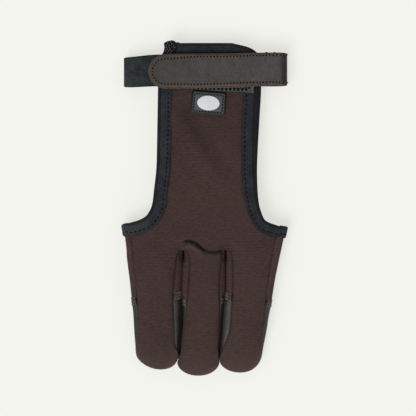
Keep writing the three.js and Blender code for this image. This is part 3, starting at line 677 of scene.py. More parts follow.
finishes = {
    "backCloth": brownClothFinish("brownBackCloth", srgb(63, 48, 45)),
    "sideCloth": brownClothFinish("brownSideCloth", srgb(72, 55, 52), 0.05),
    "facing": leatherFinish("greyFacingLeather", srgb(74, 71, 67), 700.0, 0.46, 0.15),
    "tab": leatherFinish("tabLeather", srgb(66, 64, 62), 420.0, 0.65, 0.22, srgb(90, 74, 67)),
    "tape": tapeFinish("blackTwillTape", srgb(40, 43, 47)),
    "elastic": elasticFinish("blackElastic", srgb(37, 41, 42)),
    "hookTape": tapeFinish("hookTape", srgb(24, 27, 27)),
    "selvedge": tapeFinish("hookTapeEdge", srgb(72, 79, 76)),
    "label": rubberFinish("labelRubber", srgb(76, 79, 79)),
    "inlay": rubberFinish("paleInlay", srgb(214, 215, 216), 0.5),
    "tabThread": threadFinish("brownThread", srgb(106, 79, 57)),
    "knotThread": threadFinish("knotThread", srgb(70, 58, 45)),
    "tapeThread": threadFinish("tapeThread", srgb(104, 112, 108)),
    # black thread; dark pieces of it are also painted shade in the stitch holes of the tab and of the tape's
    # cut end
    "darkThreadAndHoleShade": threadFinish("blackThreadAndHoleShade", srgb(10, 10, 11)),
    "seamThread": threadFinish("seamThread", srgb(19, 21, 25)),
    "paleThread": threadFinish("paleThread", srgb(122, 113, 106)),
    "greyThread": threadFinish("greyThread", srgb(138, 146, 140)),
}
print("finishes made:", len(finishes))


def dress(piece, finish, slot, *nodes):
    piece.data.materials.append(finishes[finish])
    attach(piece, "root")
    if nodes:
        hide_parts(*nodes)
    return piece


# The back of the hand, the fingers' backs and the tongue, as one cloth

back = {
    "fingerColumns": 46,
    "gapColumns": 4,
    "bodyRows": 56,
    "tipRows": 24,
    "knuckleRows": 44,
    "tongueRows": 90,
    "crotchBlend": 7.0,
    "blendShare": (0.04, 0.16),
    "seamDip": 0.55,
    "seamReach": 0.8,
    # painted shade and painted light on the cloth: shade at the seams, in a band across the tongue's middle
    # and at the middle fingertip's left side; light on the fingertips' edges, towards the tips, in a band
    # lower on the tongue and at the left knuckle corner; paler along the right seam near the tips
    "seamShade": (0.4, 0, 1.15),  # three numbers for a hill are its amount, middle and width
    "outerShade": 0.35,
    "outerEnd": (14, 19),
    "tongueShade": (0.12, 76, 17),
    "tipReach": (0.78, 0.9),
    "tipEdgeLight": (0.5, 0, 2.4),
    "tipRightPale": (0.16, 2, 4.0),
    "tipLeftShaded": (1, 3.0),
    "fingersLit": [(0.04, 0, 30), (0.1, 55, 80)],  # amount, distances down the fingers it grows between
    "tongueLit": (0.05, 34, 17),
    "knuckleLit": (0.08, 0, 10),
    "knuckleLitAt": (-42, 9),
    "unevenness": 0.14,
    "evenReach": (-90, -20),
    "waves": [(0.21, 0.05, 1.0), (0.09, -0.17, 2.2), (0.31, 0.23, 0.0)],  # per x, per y, phase
    "slopeStart": (-18.5, 92.3),
    "slopeEnd": (11.4, 49.4),
    "slopeWidth": 8.0,
    "slopeHeight": 3.52,
    "mound": (1.0, 0, 7.0),
    "moundAt": (-12.5, 9.5),
    "moundSquash": 1.4,
}
fold = {  # the crease above the middle finger
    "depth": 2.4,
    "width": 0.95,
    "start": (-15.6, -12),
    "end": (12.6, 14.0),
    # painted shade along the crease, and painted highlight on the low ridge beside it
    "shade": 0.88,
    "shadeWidth": 0.855,
    "ridge": (1.6, -2.7, 1.5),
    "ridgeEnd": (-4, 2),
    "wearAndLight": (0.22, -3.2, 1.3),
    "highlightEnd": (-6, 0),
    "line": [  # x and y, from its upper end to the right-hand slit
        (-14.5, 4.6),
        (-12.6, 5.6),
        (-9.5, 5.7),
        (-6.8, 4.6),
        (-4.2, 2.8),
        (-1.9, 1.0),
        (0.3, -0.4),
        (2.6, -1.0),
        (5.6, -1.2),
        (8.8, -0.8),
        (13.5, -0.5),
    ],
}


def foldDistance(x, y):
    # distance from the crease, measured across it, and how strong the crease is there
    line, before, after = (curveThrough(fold["line"], 1, x + step) for step in (0, -0.5, 0.5))
    return (y - line) / np.sqrt(1 + (after - before) ** 2), spanBetween(fold["start"], fold["end"], x)


def foldDip(x, y):
    # a narrow valley along the crease, with a low ridge on the fingers' side of its upper end
    distance, fade = foldDistance(x, y)
    ridge = hill(*fold["ridge"], distance) * (1 - smoothRise(*fold["ridgeEnd"], x))
    return fade * (fold["depth"] * bell(distance, fold["width"]) - ridge)


def unevenness(x, y):
    # slow waves that cross each other, a soft slanting fold on the tongue, a mound by the crease
    waves = sum(np.sin(x * perX + y * perY + phase) for perX, perY, phase in back["waves"])
    start, end = np.array(back["slopeStart"]), np.array(back["slopeEnd"])
    length = np.linalg.norm(end - start)
    ahead = (end - start) / length
    along = (x - start[0]) * ahead[0] + (y - start[1]) * ahead[1]
    off = ((y - start[1]) * ahead[0] - (x - start[0]) * ahead[1]) / back["slopeWidth"]
    window = spanBetween((-8, 8), (length - 12, length + 10), along)
    slant = -off * bell(off, 1) * window * back["slopeHeight"]
    moundX, moundY = back["moundAt"]
    fromMound = np.hypot(x - moundX, (y - moundY) * back["moundSquash"])
    return back["unevenness"] * waves + slant + hill(*back["mound"], fromMound)


def tipShares(finger, count):
    # shares of the finger's length over its tip, crowding together like steps of an arc
    return 1 - finger["tipShare"] * (1 - np.sin(np.linspace(0, np.pi / 2, count + 1)))


def fingerRows(finger):
    # y from the tip to the crotch
    tip = tipShares(finger, back["tipRows"])[::-1]
    body = np.linspace(tip[-1], 0, back["bodyRows"] + 1)[1:]
    return -np.concatenate([tip, body]) * finger["length"]


def joinFingers(parts):
    # three finger grids side by side, with straight steps from one to the next
    t = np.linspace(0, 1, back["gapColumns"] + 1)[1:-1][None, :, None]
    joined = [parts[0]]
    for part in parts[1:]:
        joined += [between(joined[-1][:, -1:], part[:, :1], t), part]
    return np.concatenate(joined, axis=1)


def keptCells(points, fingerCells, columns):
    # all cells of the grid but those that bridge two fingers
    keep = np.ones((points.shape[0] - 1, points.shape[1] - 1), bool)
    part, gap = [False] * columns, [True] * back["gapColumns"]
    keep[:fingerCells, np.array(part + gap + part + gap + part)] = False
    return keep


def backParts(rows):
    # the fingers' backs side by side, each with its own rows
    ends = ("leftSeam", "rightSeam", back["fingerColumns"])
    return joinFingers([sectionGrid(finger, y, *ends)[2] for finger, y in zip(fingers.values(), rows)])


crotchLine = backParts([np.zeros(1)] * len(fingers))[0]
edgeCorners = [clothEdge(side, 0.0)[1] for side in ("left", "right")]


def clothHeight(x, y):
    # the fingers' heights at the crotch pass into the back's, sooner between the fingers
    share = handShare(x, y)
    fromFingers = np.interp(share, handShare(crotchLine[:, 0]), crotchLine[:, 2])
    inside = smoothRise(*back["blendShare"], np.minimum(share, 1 - share))
    reach = between(hand["knuckleDepth"], back["crotchBlend"], inside)
    return between(fromFingers, backHeight(x, y), smoothRise(0, 1, y / reach))


def backGrid():
    # rows of the fingers, then rows from the crotch to the cloth's corners, then rows from edge to
    # edge of the tongue, all at clothHeight
    shares = handShare(crotchLine[:, 0])
    across = (shares - shares[0]) / (shares[-1] - shares[0])
    y = np.linspace(0, 1, back["knuckleRows"] + 1)[1:-1, None] * between(*edgeCorners, across)
    knuckles = np.stack([between(*handSides(y), shares), y], axis=-1)
    at = np.linspace(0, 1, back["tongueRows"] + 1)
    edges = [clothEdge(side, at) for side in ("left", "right")]
    for edge in edges:
        start, end = edge[0, 1], edge[-1, 1]
        edge[:, 1] = start + (edge[:, 1] - start) * (tongueTop - overTape - start) / (end - start)
    tongueGrid = between(edges[0][:, None], edges[1][:, None], across[None, :, None])
    flat = np.concatenate([knuckles, tongueGrid])
    height = clothHeight(flat[..., 0], flat[..., 1])
    fingerGrid = backParts([fingerRows(finger) for finger in fingers.values()])
    return np.concatenate([fingerGrid, np.dstack([flat, height])])


def makeBack():
    points = backGrid()
    fingerCells = back["bodyRows"] + back["tipRows"]
    keep = keptCells(points, fingerCells, back["fingerColumns"])
    x, y = points[..., 0], points[..., 1]
    relief = unevenness(x, y) * smoothRise(*back["evenReach"], y) - foldDip(x, y)
    fromFold, foldFade = foldDistance(x, y)
    # painted shade along the crease and in a band across the tongue's middle; painted light towards the tips,
    # in a band lower on the tongue, at the left knuckle corner and on the ridge by the crease
    shade = fold["shade"] * foldFade * bell(fromFold, fold["shadeWidth"]) + hill(*back["tongueShade"], y)
    wearAndLight = sum(amount * smoothRise(start, end, -y) for amount, start, end in back["fingersLit"])
    knuckleX, knuckleY = back["knuckleLitAt"]
    wearAndLight += hill(*back["tongueLit"], y) + hill(*back["knuckleLit"], np.hypot(x - knuckleX, y - knuckleY))
    wearAndLight += hill(*fold["wearAndLight"], fromFold) * foldFade * (1 - smoothRise(*fold["highlightEnd"], x))
    # the cloth turns in at each seam, where it gets painted shade, less towards the tips, whose edge gets a
    # painted highlight; near the tips it is paler along the right seam, and the middle finger has painted
    # shade along the left one
    inFinger = np.arange(points.shape[0])[:, None] <= fingerCells
    step = back["fingerColumns"] + back["gapColumns"]
    for i, finger in enumerate(fingers.values()):
        part = slice(i * step, i * step + back["fingerColumns"] + 1)
        fromLeft = arcDistance(points[:, part], 1)
        fromRight = fromLeft[:, -1:] - fromLeft
        distance = np.minimum(fromLeft, fromRight)
        share = -y[:, part] / finger["length"]
        toTip = inFinger * smoothRise(*back["tipReach"], share)
        toSeam = inFinger - toTip
        relief[:, part] -= toSeam * bell(distance, back["seamReach"]) * back["seamDip"]
        shade[:, part] += toSeam * hill(*back["seamShade"], distance)
        shade[:, part] += toTip * hill(finger["tipShade"], *back["tipLeftShaded"], fromLeft)
        atEnd = (share > 0.995) | (distance < 1e-3)
        edgeLight = np.where(atEnd, back["tipEdgeLight"][0], hill(*back["tipEdgeLight"], distance))
        wearAndLight[:, part] += toTip * (edgeLight + hill(*back["tipRightPale"], fromRight))
    seam = ~inFinger * (1 - smoothRise(*back["outerEnd"], y)) * bell(edgeDistance(points), back["seamReach"])
    relief -= seam * back["seamDip"]
    marks = {"shade": np.clip(shade + seam * back["outerShade"], 0, 1), "wearAndLight": wearAndLight}
    return closedSheet("back_cloth", points, hand["clothWall"], keep, False, relief, [(0, (0, -1, 0))], marks)


backCloth = dress(makeBack(), "backCloth", "brown_cloth", "back_panel")
# the panel's cut: 107 by 217 mm, with the slits and the sides of the tongue cut away
print("back made")


# The palm, with the outer sides and the undersides of the finger roots

palm = {"columns": 40, "fingerRows": 30, "handRows": 20}
palmEnds = {  # the angles where the palm starts and ends under each finger
    "left": ("leftSeam", turn - hand["palmSeam"]),
    "middle": (math.pi + hand["palmSeam"], turn - hand["palmSeam"]),
    "right": (math.pi + hand["palmSeam"], "rightSeamBelow"),
}
cutStitch = {
    "pitch": 1.9,
    "radius": 0.11,
    "rows": (0.4, -1.5, -3.4),
    "lift": 0.3,
    "bow": 0.06,
    "clothGround": (0.85, -0.5, 0.2),  # how dark, and where it ends past the uppermost stitches
    "leatherGround": (0.9, 2.6, 3.8),  # how dark, and where it ends below the cut
}


def palmPart(name, y):
    _, angle, points = leanedGrid(fingers[name], y, *palmEnds[name], palm["columns"])
    return points, (np.sin(angle) > 1e-6).astype(float)[..., None]


def cutGround(finger, y):
    # painted shade on the cloth under the stitches, beside the leather's cut end
    amount, start, end = cutStitch["clothGround"]
    past = y + hand["facingShare"] * finger["length"] - finger["cutTop"]
    return amount * (1 - smoothRise(start, end, past))


def palmEdge(share):
    return between(*edgeCorners, share) - hand["palmDip"] * np.sin(np.pi * share) ** 1.5


crotchParts = [palmPart(name, np.zeros(1)) for name in fingers]
palmStart, onBack = (joinFingers(parts)[0] for parts in zip(*crotchParts))
palmOnBack = onBack[:, 0] > 0.99
palmShares = np.linspace(0, 1, len(palmStart))


def palmPoints(column, y):
    # the palm at a column of its grid and a distance y
    start = palmStart[column]
    share = handShare(start[..., 0])
    toHand = smoothRise(0, hand["knuckleDepth"], y)
    height = between(start[..., 2], handHeight(share, y, palmOnBack[column]), toHand)
    return np.stack([between(*handSides(y), share), np.broadcast_to(y, height.shape), height], axis=-1)


def makePalm():
    # rows of the finger roots' undersides, then rows from the crotch to the palm's edge
    parts, grounds = [], []
    for name, finger in fingers.items():
        y = -np.linspace(hand["facingShare"], 0, palm["fingerRows"] + 1) * finger["length"]
        parts.append(palmPart(name, y)[0])
        grounds.append(np.tile(cutGround(finger, y)[:, None, None], (1, palm["columns"] + 1, 1)))
    rise = np.linspace(0, 1, palm["handRows"] + 1)[1:, None]
    handGrid = palmPoints(np.arange(len(palmStart))[None], rise * palmEdge(palmShares))
    points = np.concatenate([joinFingers(parts), handGrid])
    ground = np.concatenate([joinFingers(grounds)[..., 0], np.zeros(handGrid.shape[:2])])
    keep = keptCells(points, palm["fingerRows"], palm["columns"])
    relief = -back["seamDip"] * bell(edgeDistance(points), back["seamReach"])
    return closedSheet("palm_cloth", points, hand["clothWall"], keep, True, relief, marks={"shade": ground})


palmCloth = dress(makePalm(), "sideCloth", "brown_cloth", "palm_panel")


# The side walls of the slits

slit = {
    "rows": 40,
    "columns": 24,
    "recess": (1.2, 0.2, 0.26),
    "recessStart": (1, 4),
    "clothRecess": -0.3,
    "swellAt": (-0.12, -0.38),
    "swellWidth": 0.16,
    "overlap": 0.35,
    "sink": 0.2,
    "leatherFrom": (26, 34),
    "meetTo": (69.0, 75.0),
    "shadow": (1, -4.9, 3.7),
    "shadowReach": ((0.03, 0.24), (0.0, 0.2)),
    "seamShade": 0.5,
    "hole": (1.5, -4.3, 3.2),
    "holeAngle": (1, 0.3, 0.25),
}


def slitRooms(y):
    # half the free width of the left-hand and the right-hand slit at each y
    sections = [fingerSection(finger, y) for finger in fingers.values()]
    return [
        (other["centre"] - other["half"] - one["centre"] - one["half"]) / 2
        for one, other in zip(sections, sections[1:])
    ]


def slitRelief(angle, y, half, room, side):
    # angle is above the finger's widest line, on a side that faces a slit: the wall falls away
    # there, and swells below it past its neighbour's swelling, which is at another height;
    # near the crotch a hole opens above the swelling
    inLeather = smoothRise(*slit["leatherFrom"], -y)
    recess = hill(*slit["recess"], angle) * between(slit["clothRecess"], 1, inLeather)
    recess = recess * smoothRise(*slit["recessStart"], -y)
    at = slit["swellAt"][side] - slit["sink"] * inLeather
    power = 2 / hand["floorPower"]
    sunken = half * (1 - np.cos(at) ** power)
    steepness = np.tan(-at) ** (power * (hand["floorPower"] - 1)) * half / (hand["thickness"] / 2)
    reach = (sunken + room + slit["overlap"]) * np.sqrt(1 + steepness ** 2)
    swell = reach * bell(angle - at, slit["swellWidth"])
    hole = hill(*slit["hole"], y) * hill(*slit["holeAngle"], angle)
    return (swell - recess) * (1 - smoothRise(*slit["meetTo"], -y)) - hole


def makeFourchette(name, pair, room):
    # the wall down the first finger's side and up the second's, as one strip
    share = np.linspace(hand["facingShare"], 0, slit["rows"] + 1)
    sides = ((share, "rightSeam", -hand["palmSeam"]), (share[::-1], "leftSeam", math.pi + hand["palmSeam"]))
    walls, reliefs, shadows = [], [], []
    for side, (finger, (shares, start, end)) in enumerate(zip(pair, sides)):
        y = -shares * finger["length"]
        section, angle, points = leanedGrid(finger, y, start, end, slit["columns"])
        above = math.pi - angle if side else angle
        y = y[:, None]
        near = hill(*slit["shadow"], y) * (1 - smoothRise(*slit["shadowReach"][room], above))
        shadows.append(np.maximum(near, cutGround(finger, y)))
        reliefs.append(slitRelief(above, y, section["half"], slitRooms(y)[room], side))
        walls.append(points)
    points = np.concatenate(walls)
    seam = bell(arcDistance(points, 1), back["seamReach"])
    relief = np.concatenate(reliefs) - back["seamDip"] * seam
    shade = np.maximum(seam * slit["seamShade"], np.concatenate(shadows))
    return closedSheet(name, points, hand["clothWall"], relief=relief, marks={"shade": shade})


for room, (name, node) in enumerate((
    ("left_slit_wall", "left_fourchette"),
    ("right_slit_wall", "right_fourchette"),
)):
    pair = list(fingers.values())[room:room + 2]
    slitWall = dress(makeFourchette(name, pair, room), "sideCloth", "brown_cloth", node)


# Leather facings round the fingertips

facing = {
    "columns": 90,
    "bodyRows": 44,
    "tipRows": 22,
    "poleRows": 6,
    "wall": 1.4,
    "proud": 0.2,
    "proudFrom": (-0.9, -0.4),
    "tipReach": (0.7, 0.88),
    "tipDip": 0.3,
    "tipShadeLoss": 0.6,
    "seamShade": 0.4,
    "sideBlend": (-0.3, 0.3),
}


def facingRelief(name, angle, y, half):
    # pinched where the leather faces a slit; angle runs from the left seam under the finger
    relief = np.zeros_like(angle)
    for room, before, after in zip(slitRooms(y), ("left", "middle"), ("middle", "right")):
        if name == before:
            relief += slitRelief(angle - turn, y, half, room, 0)
        if name == after:
            relief += slitRelief(math.pi - angle, y, half, room, 1)
    return relief


def makeFacing(name, finger):
    # the finger's section from seam to seam underneath, pinched at the slits and closed at the tip
    body = np.linspace(hand["facingShare"], 1 - finger["tipShare"], facing["bodyRows"] + 1)
    share = np.concatenate([body, tipShares(finger, facing["tipRows"])[1:]])
    ends = ("leftSeam", "rightSeamBelow")
    section, angle, points = leanedGrid(finger, -share * finger["length"], *ends, facing["columns"])
    share = share[:, None]
    seam = bell(edgeDistance(points), back["seamReach"])
    toTip = smoothRise(*facing["tipReach"], share)
    proud = facing["proud"] * smoothRise(*facing["proudFrom"], np.sin(angle))
    relief = proud - (back["seamDip"] + proud) * seam - facing["tipDip"] * toTip
    relief = relief * np.minimum(1, np.arange(len(points))[::-1] / facing["poleRows"])[:, None]
    relief += facingRelief(name, angle, -share * finger["length"], section["half"])
    # painted shade under the cut's stitches, along the leather's sides and at the seams
    amount, start, end = cutStitch["leatherGround"]
    ground = amount * (1 - smoothRise(start, end, (share - hand["facingShare"]) * finger["length"]))
    sides = between(*finger["sideShade"], smoothRise(*facing["sideBlend"], np.cos(angle)))
    sides = sides * (1 - facing["tipShadeLoss"] * toTip)
    marks = {"shade": np.maximum(np.maximum(seam * facing["seamShade"], sides), ground)}
    poles = [(-1, (0, -1, 0))]
    piece = closedSheet(name + "_leather", points, facing["wall"], relief=relief, poles=poles, marks=marks)
    dress(piece, "facing", "dark_leather", name + "_facing")


def makeCutStitches(name, finger):
    # a net of crossing threads over the cut end of the leather, from seam to seam
    count = int(3.6 * hand["knuckleWidth"] * finger["rows"][1][2] / cutStitch["pitch"])
    pick = np.arange(count + 1)
    starts, ends, normals = [], [], []
    rowsDown = (finger["cutTop"], *cutStitch["rows"])
    for highAndLow in zip(rowsDown, rowsDown[1:]):
        y = np.array(highAndLow) - hand["facingShare"] * finger["length"]
        seams = ("leftSeam", "rightSeamBelow")
        section, angle, rows = leanedGrid(finger, y, *seams, count, hand["facingShare"])
        centre = np.broadcast_arrays(section["centre"], rows[..., 1], section["middle"])
        out = unit(rows - np.stack(centre, axis=-1))
        rise = facingRelief(name, angle, y[:, None], section["half"]) + cutStitch["lift"]
        rows = rows + out * rise[..., None]
        for phase in (0, 1):
            row = (pick + phase) % 2
            path = rows[row, pick]
            starts.append(path[:-1])
            ends.append(path[1:])
            normals.append(out[row, pick][:-1])
    threadLines = map(np.concatenate, (starts, ends, normals))
    net = threads(name + "_cut_stitches", *threadLines, cutStitch["radius"], cutStitch["bow"])
    dress(net, "paleThread", "dark_leather")


for name, finger in fingers.items():
    makeFacing(name, finger)
    makeCutStitches(name, finger)
print("palm, slits and facings made")


# Binding tape over the whole opening edge

binding = {
    "backStations": 190,
    "palmStations": 110,
    "topStations": 46,
    "fold": 1.0,
    "crease": 1.2,
    "inner": 8.4,
    "stitchInset": 2.1,
    "stitchPitch": 3.0,
    "stitchShare": 0.45,
    "stitchRadius": 0.45,
    "tail": 0.3,
    "underEnd": 2.2,
    "tabShade": (0.95, 127.2, 0.8),
    "tabFrom": (-30, -20),
    "tabTo": (28, 36),
    "cornerWear": 0.5,
    "cornerX": (-46, -32),
    "cornerY": (36, 44),
}
# how far the tape's outer edge rolls over beside its face, by distance along the hand
rollRows = {
    "left": [(11, 0.7), (20, 1.0), (30, 0.9), (42, 0.2), (136, 0.1)],
    "right": [(11, 0.7), (19, 1.0), (41, 1.4), (65, 1.8), (100, 2.7), (116, 2.7), (127, 1.2), (135, 0.4)],
}
# how much wider than usual the tape's face is, by distance along the hand
widthRows = {
    "left": [(11, -0.7), (25, -0.3), (50, 0.5), (80, 0.8), (136, 0.7)],
    "right": [(11, -1.7), (22, -1.3), (45, 0.0), (80, 0.8), (92, 0.5), (104, 0.1), (136, 0.0)],
}


def clothNormal(x, y, step=0.4):
    # from the height's slopes in x and in y
    dx = (clothHeight(x + step, y) - clothHeight(x - step, y)) / (2 * step)
    dy = (clothHeight(x, y + step) - clothHeight(x, y - step)) / (2 * step)
    return unit(np.stack([-dx, -dy, np.ones_like(dx)], axis=-1))


def bandOnBack(line, across):
    # points and normals on the cloth at distances inwards from a line along its edge
    along = unit(np.gradient(line, axis=0))
    inwards = np.stack([-along[:, 1], along[:, 0]], axis=-1)
    flat = line[:, None] + inwards[:, None] * across[..., None]
    x, y = flat[..., 0], flat[..., 1]
    return np.dstack([flat, clothHeight(x, y)]), clothNormal(x, y)


def bandOnPalm(columns, across):
    # the same on the palm, inwards from its edge
    y = palmEdge(palmShares[columns])[:, None] + overTape - across
    column = columns[:, None]
    alongY = palmPoints(column, y + 0.5) - palmPoints(column, y - 0.5)
    before, after = np.maximum(0, column - 1), np.minimum(len(palmStart) - 1, column + 1)
    alongEdge = palmPoints(after, y) - palmPoints(before, y)
    return palmPoints(column, y), unit(np.cross(alongY, alongEdge))


def bindingBand(base, weight):
    # points and normals at base + weight times roll inwards from the edge, all along the tape
    at = np.linspace(1, 0, 400)
    left, right = outlinePoints("left", at), outlinePoints("right", at[::-1])
    endX = left[0, 0] + tape["width"] - binding["underEnd"]
    left = np.concatenate([left[:1] + np.array([0, binding["tail"]]), left])
    topX = np.linspace(right[-1, 0], endX, 60)[1:]
    right = np.concatenate([right, np.stack([topX, np.full_like(topX, tongueTop)], axis=-1)])
    lines = {
        "left": spacedAlong(left, binding["backStations"]),
        "right": spacedAlong(right, binding["backStations"] + binding["topStations"]),
    }
    columns = np.unique(np.round(np.linspace(2, len(palmStart) - 3, binding["palmStations"])).astype(int))
    rolls, wider = (
        [curveThrough(rows[side], 1, line[:, 1]) for side, line in lines.items()]
        for rows in (rollRows, widthRows)
    )
    rolls.insert(1, np.zeros(len(columns)))
    wider.insert(1, np.linspace(widthRows["left"][0][1], widthRows["right"][0][1], len(columns)))
    inFace = base > binding["crease"] + 0.05
    across = [base + roll[:, None] * weight + wide[:, None] * inFace for roll, wide in zip(rolls, wider)]
    bands = [
        bandOnBack(lines["left"], across[0]),
        bandOnPalm(columns, across[1]),
        bandOnBack(lines["right"], across[2]),
    ]
    return (*map(np.concatenate, zip(*bands)), np.concatenate(rolls))


def tapeProfile():
    # columns: distance inwards, share of the roll added to it, height over the cloth, darkness, which is
    # painted shade in the folds and grooves, and how much of that darkness goes with the roll, as painted
    # shade on the rolled edge; it goes round the folded tape from its edge
    top, under = overTape, -hand["clothWall"] - overTape
    middle, radius = (top + under) / 2, (top - under) / 2
    edge = [
        (binding["fold"] * (1 - np.cos(a)), 0, middle + radius * np.sin(a), 0.75, 0)
        for a in np.linspace(-np.pi / 2, np.pi / 2, 9)
    ]
    crease, inner = binding["crease"], binding["inner"]
    stitch = inner - binding["stitchInset"]
    above = [
        *((crease - 0.15 + w * 0.1, w, top + 0.1, 0.1, 0.55) for w in (0.25, 0.5, 0.75)),
        (crease, 0.97, top - 0.1, 0.2, 0.4),
        (crease + 0.1, 1, top - 0.4, 0.8, 0),
        (crease + 0.35, 1, top, 0, 0),
        (crease + 1.6, 1, top + 0.05, 0, 0),
        (stitch - 0.9, 1, top, 0, 0),
        (stitch - 0.4, 1, top - 0.15, 0, 0),
        (stitch, 1, top - 0.3, 0.1, 0),
        (stitch + 0.4, 1, top - 0.15, 0, 0),
        (stitch + 0.8, 1, top, 0, 0),
        (inner - 0.4, 1, top - 0.05, 0.1, 0),
        (inner, 1, top - 0.55, 0.7, 0),
        (inner, 1, 0.06, 0.9, 0),
        (1.05, 0, 0.1, 0.9, 0),
    ]
    below = [(x, w, 2 * middle - z, dark, rolled) for x, w, z, dark, rolled in above[::-1]]
    return np.array(edge + above + below)


def makeBinding():
    # the folded tape's profile, carried along the whole edge
    profile = tapeProfile()
    points, normals, roll = bindingBand(profile[:, 0], profile[:, 1])
    rings = points + normals * profile[None, :, 2:3]
    rolled = smoothRise(0.1, 1.0, roll)[:, None]
    x, y = rings[..., 0], rings[..., 1]
    # painted shadow under the tab's upper edge; rubbed wear at the left corner
    underTab = hill(*binding["tabShade"], y) * spanBetween(binding["tabFrom"], binding["tabTo"], x)
    shade = np.clip(profile[:, 3] + profile[:, 4] * rolled + underTab, 0, 1)
    atCorner = (1 - smoothRise(*binding["cornerX"], x)) * (1 - smoothRise(*binding["cornerY"], y))
    wearAndLight = binding["cornerWear"] * atCorner
    return sweep("edge_tape", rings, {"shade": shade, "wearAndLight": wearAndLight})


def makeBindingStitches():
    inset, pitch = binding["inner"] - binding["stitchInset"], binding["stitchPitch"]
    points, normals, _ = bindingBand(np.array([inset]), np.ones(1))
    distance = arcDistance(points[:, 0], 0)
    starts = np.arange(int(distance[-1] / pitch)) * pitch
    out = unit(pointsAt(starts + 0.6, distance, normals[:, 0]))
    begin, end = (
        pointsAt(starts + pitch * part, distance, points[:, 0]) + out * (overTape - 0.2)
        for part in (0, binding["stitchShare"])
    )
    stitches = threads("edge_tape_stitches", begin, end, out, binding["stitchRadius"], 0.05)
    dress(stitches, "seamThread", "binding_tape")


dress(makeBinding(), "tape", "binding_tape", "edge_binding")
makeBindingStitches()


# The tape's raw end, folded over itself at the tongue's upper left corner

foldedEnd = {
    "outline": [  # x and y round the lump
        (-27.4, 126.6),
        (-25.0, 126.0),
        (-21.5, 127.0),
        (-18.6, 130.2),
        (-18.7, 133.4),
        (-19.4, 134.8),
        (-21.1, 135.7),
        (-23.0, 135.6),
        (-25.1, 135.0),
        (-26.9, 133.7),
        (-26.6, 131.0),
    ],
    "layers": [  # share of the outline, height over the tape's cloth
        (0.96, 0.95),
        (1.0, 1.25),
        (1.0, 1.9),
        (0.95, 2.25),
        (0.8, 2.5),
        (0.5, 2.6),
        (0.1, 2.62),
    ],
    "wave": 0.18,
    "shade": 0.8,
    "shadeEnd": (126.5, 130),
    "threadPitch": 1.5,
    "threadHeight": 2.75,
    "threadReach": (3.4, 4.2),
    "holeAside": (0.55, -0.35, -0.12),
}


def closedCurve(corners, count):
    # a smooth closed line through the corners, evenly spaced
    corners = np.array(corners)
    wrapped = np.concatenate([corners[-3:], corners, corners[:4]])
    rows = np.column_stack([np.arange(-3, len(corners) + 4), wrapped])
    at = np.linspace(0, len(corners), count * 4)
    line = np.stack([curveThrough(rows, i, at) for i in (1, 2)], axis=-1)
    return spacedAlong(line, count + 1)[:-1]


def onCloth(flat, height):
    # points of x and y, at a height over the back's cloth
    return np.column_stack([flat, clothHeight(flat[:, 0], flat[:, 1]) + height])


def makeFoldedEnd():
    ring = closedCurve(foldedEnd["outline"], 64)
    centre = ring.mean(axis=0)
    rings = []
    for share, height in foldedEnd["layers"]:
        flat = centre + (ring - centre) * share
        wave = foldedEnd["wave"] * np.sin(flat[:, 0] * 1.9 + flat[:, 1] * 1.1) * (height > 2)
        rings.append(onCloth(flat, height + wave))
    rings = np.array(rings)
    shade = between(1, foldedEnd["shade"], smoothRise(*foldedEnd["shadeEnd"], rings[..., 1]))
    dress(sweep("tape_folded_end", rings, {"shade": shade}), "tape", "binding_tape")
    # short grey threads where the twill is cut through, and dark ones beside them as painted shade in the
    # holes
    u, v = (steps.ravel() * foldedEnd["threadPitch"] for steps in np.meshgrid(*[np.arange(-4, 5)] * 2))
    flat = centre + np.stack([u * 0.8 - v * 0.45, u * 0.55 + v * 0.8], axis=-1)
    uneven = np.sin(u * 7.3 + v * 4.1) > -0.45
    flat = flat + 0.3 * np.stack([np.sin(u * 5.1 + v), np.cos(v * 4.3 - u)], axis=-1)
    off = np.linalg.norm((flat - centre) / np.array(foldedEnd["threadReach"]), axis=-1)
    flat = flat[uneven & (off < 1)]
    middle = onCloth(flat, foldedEnd["threadHeight"])
    half = np.array([0.3, 0.3, 0])
    for name, finish, aside, radius in (
        ("tape_end_threads", "tapeThread", np.zeros(3), 0.3),
        ("tape_end_holes", "darkThreadAndHoleShade", np.array(foldedEnd["holeAside"]), 0.34),
    ):
        ends = (middle - half + aside, middle + half + aside)
        dress(threads(name, *ends, upward, radius, 0.2), finish, "binding_tape")


makeFoldedEnd()
print("binding made")


# The wrist strap

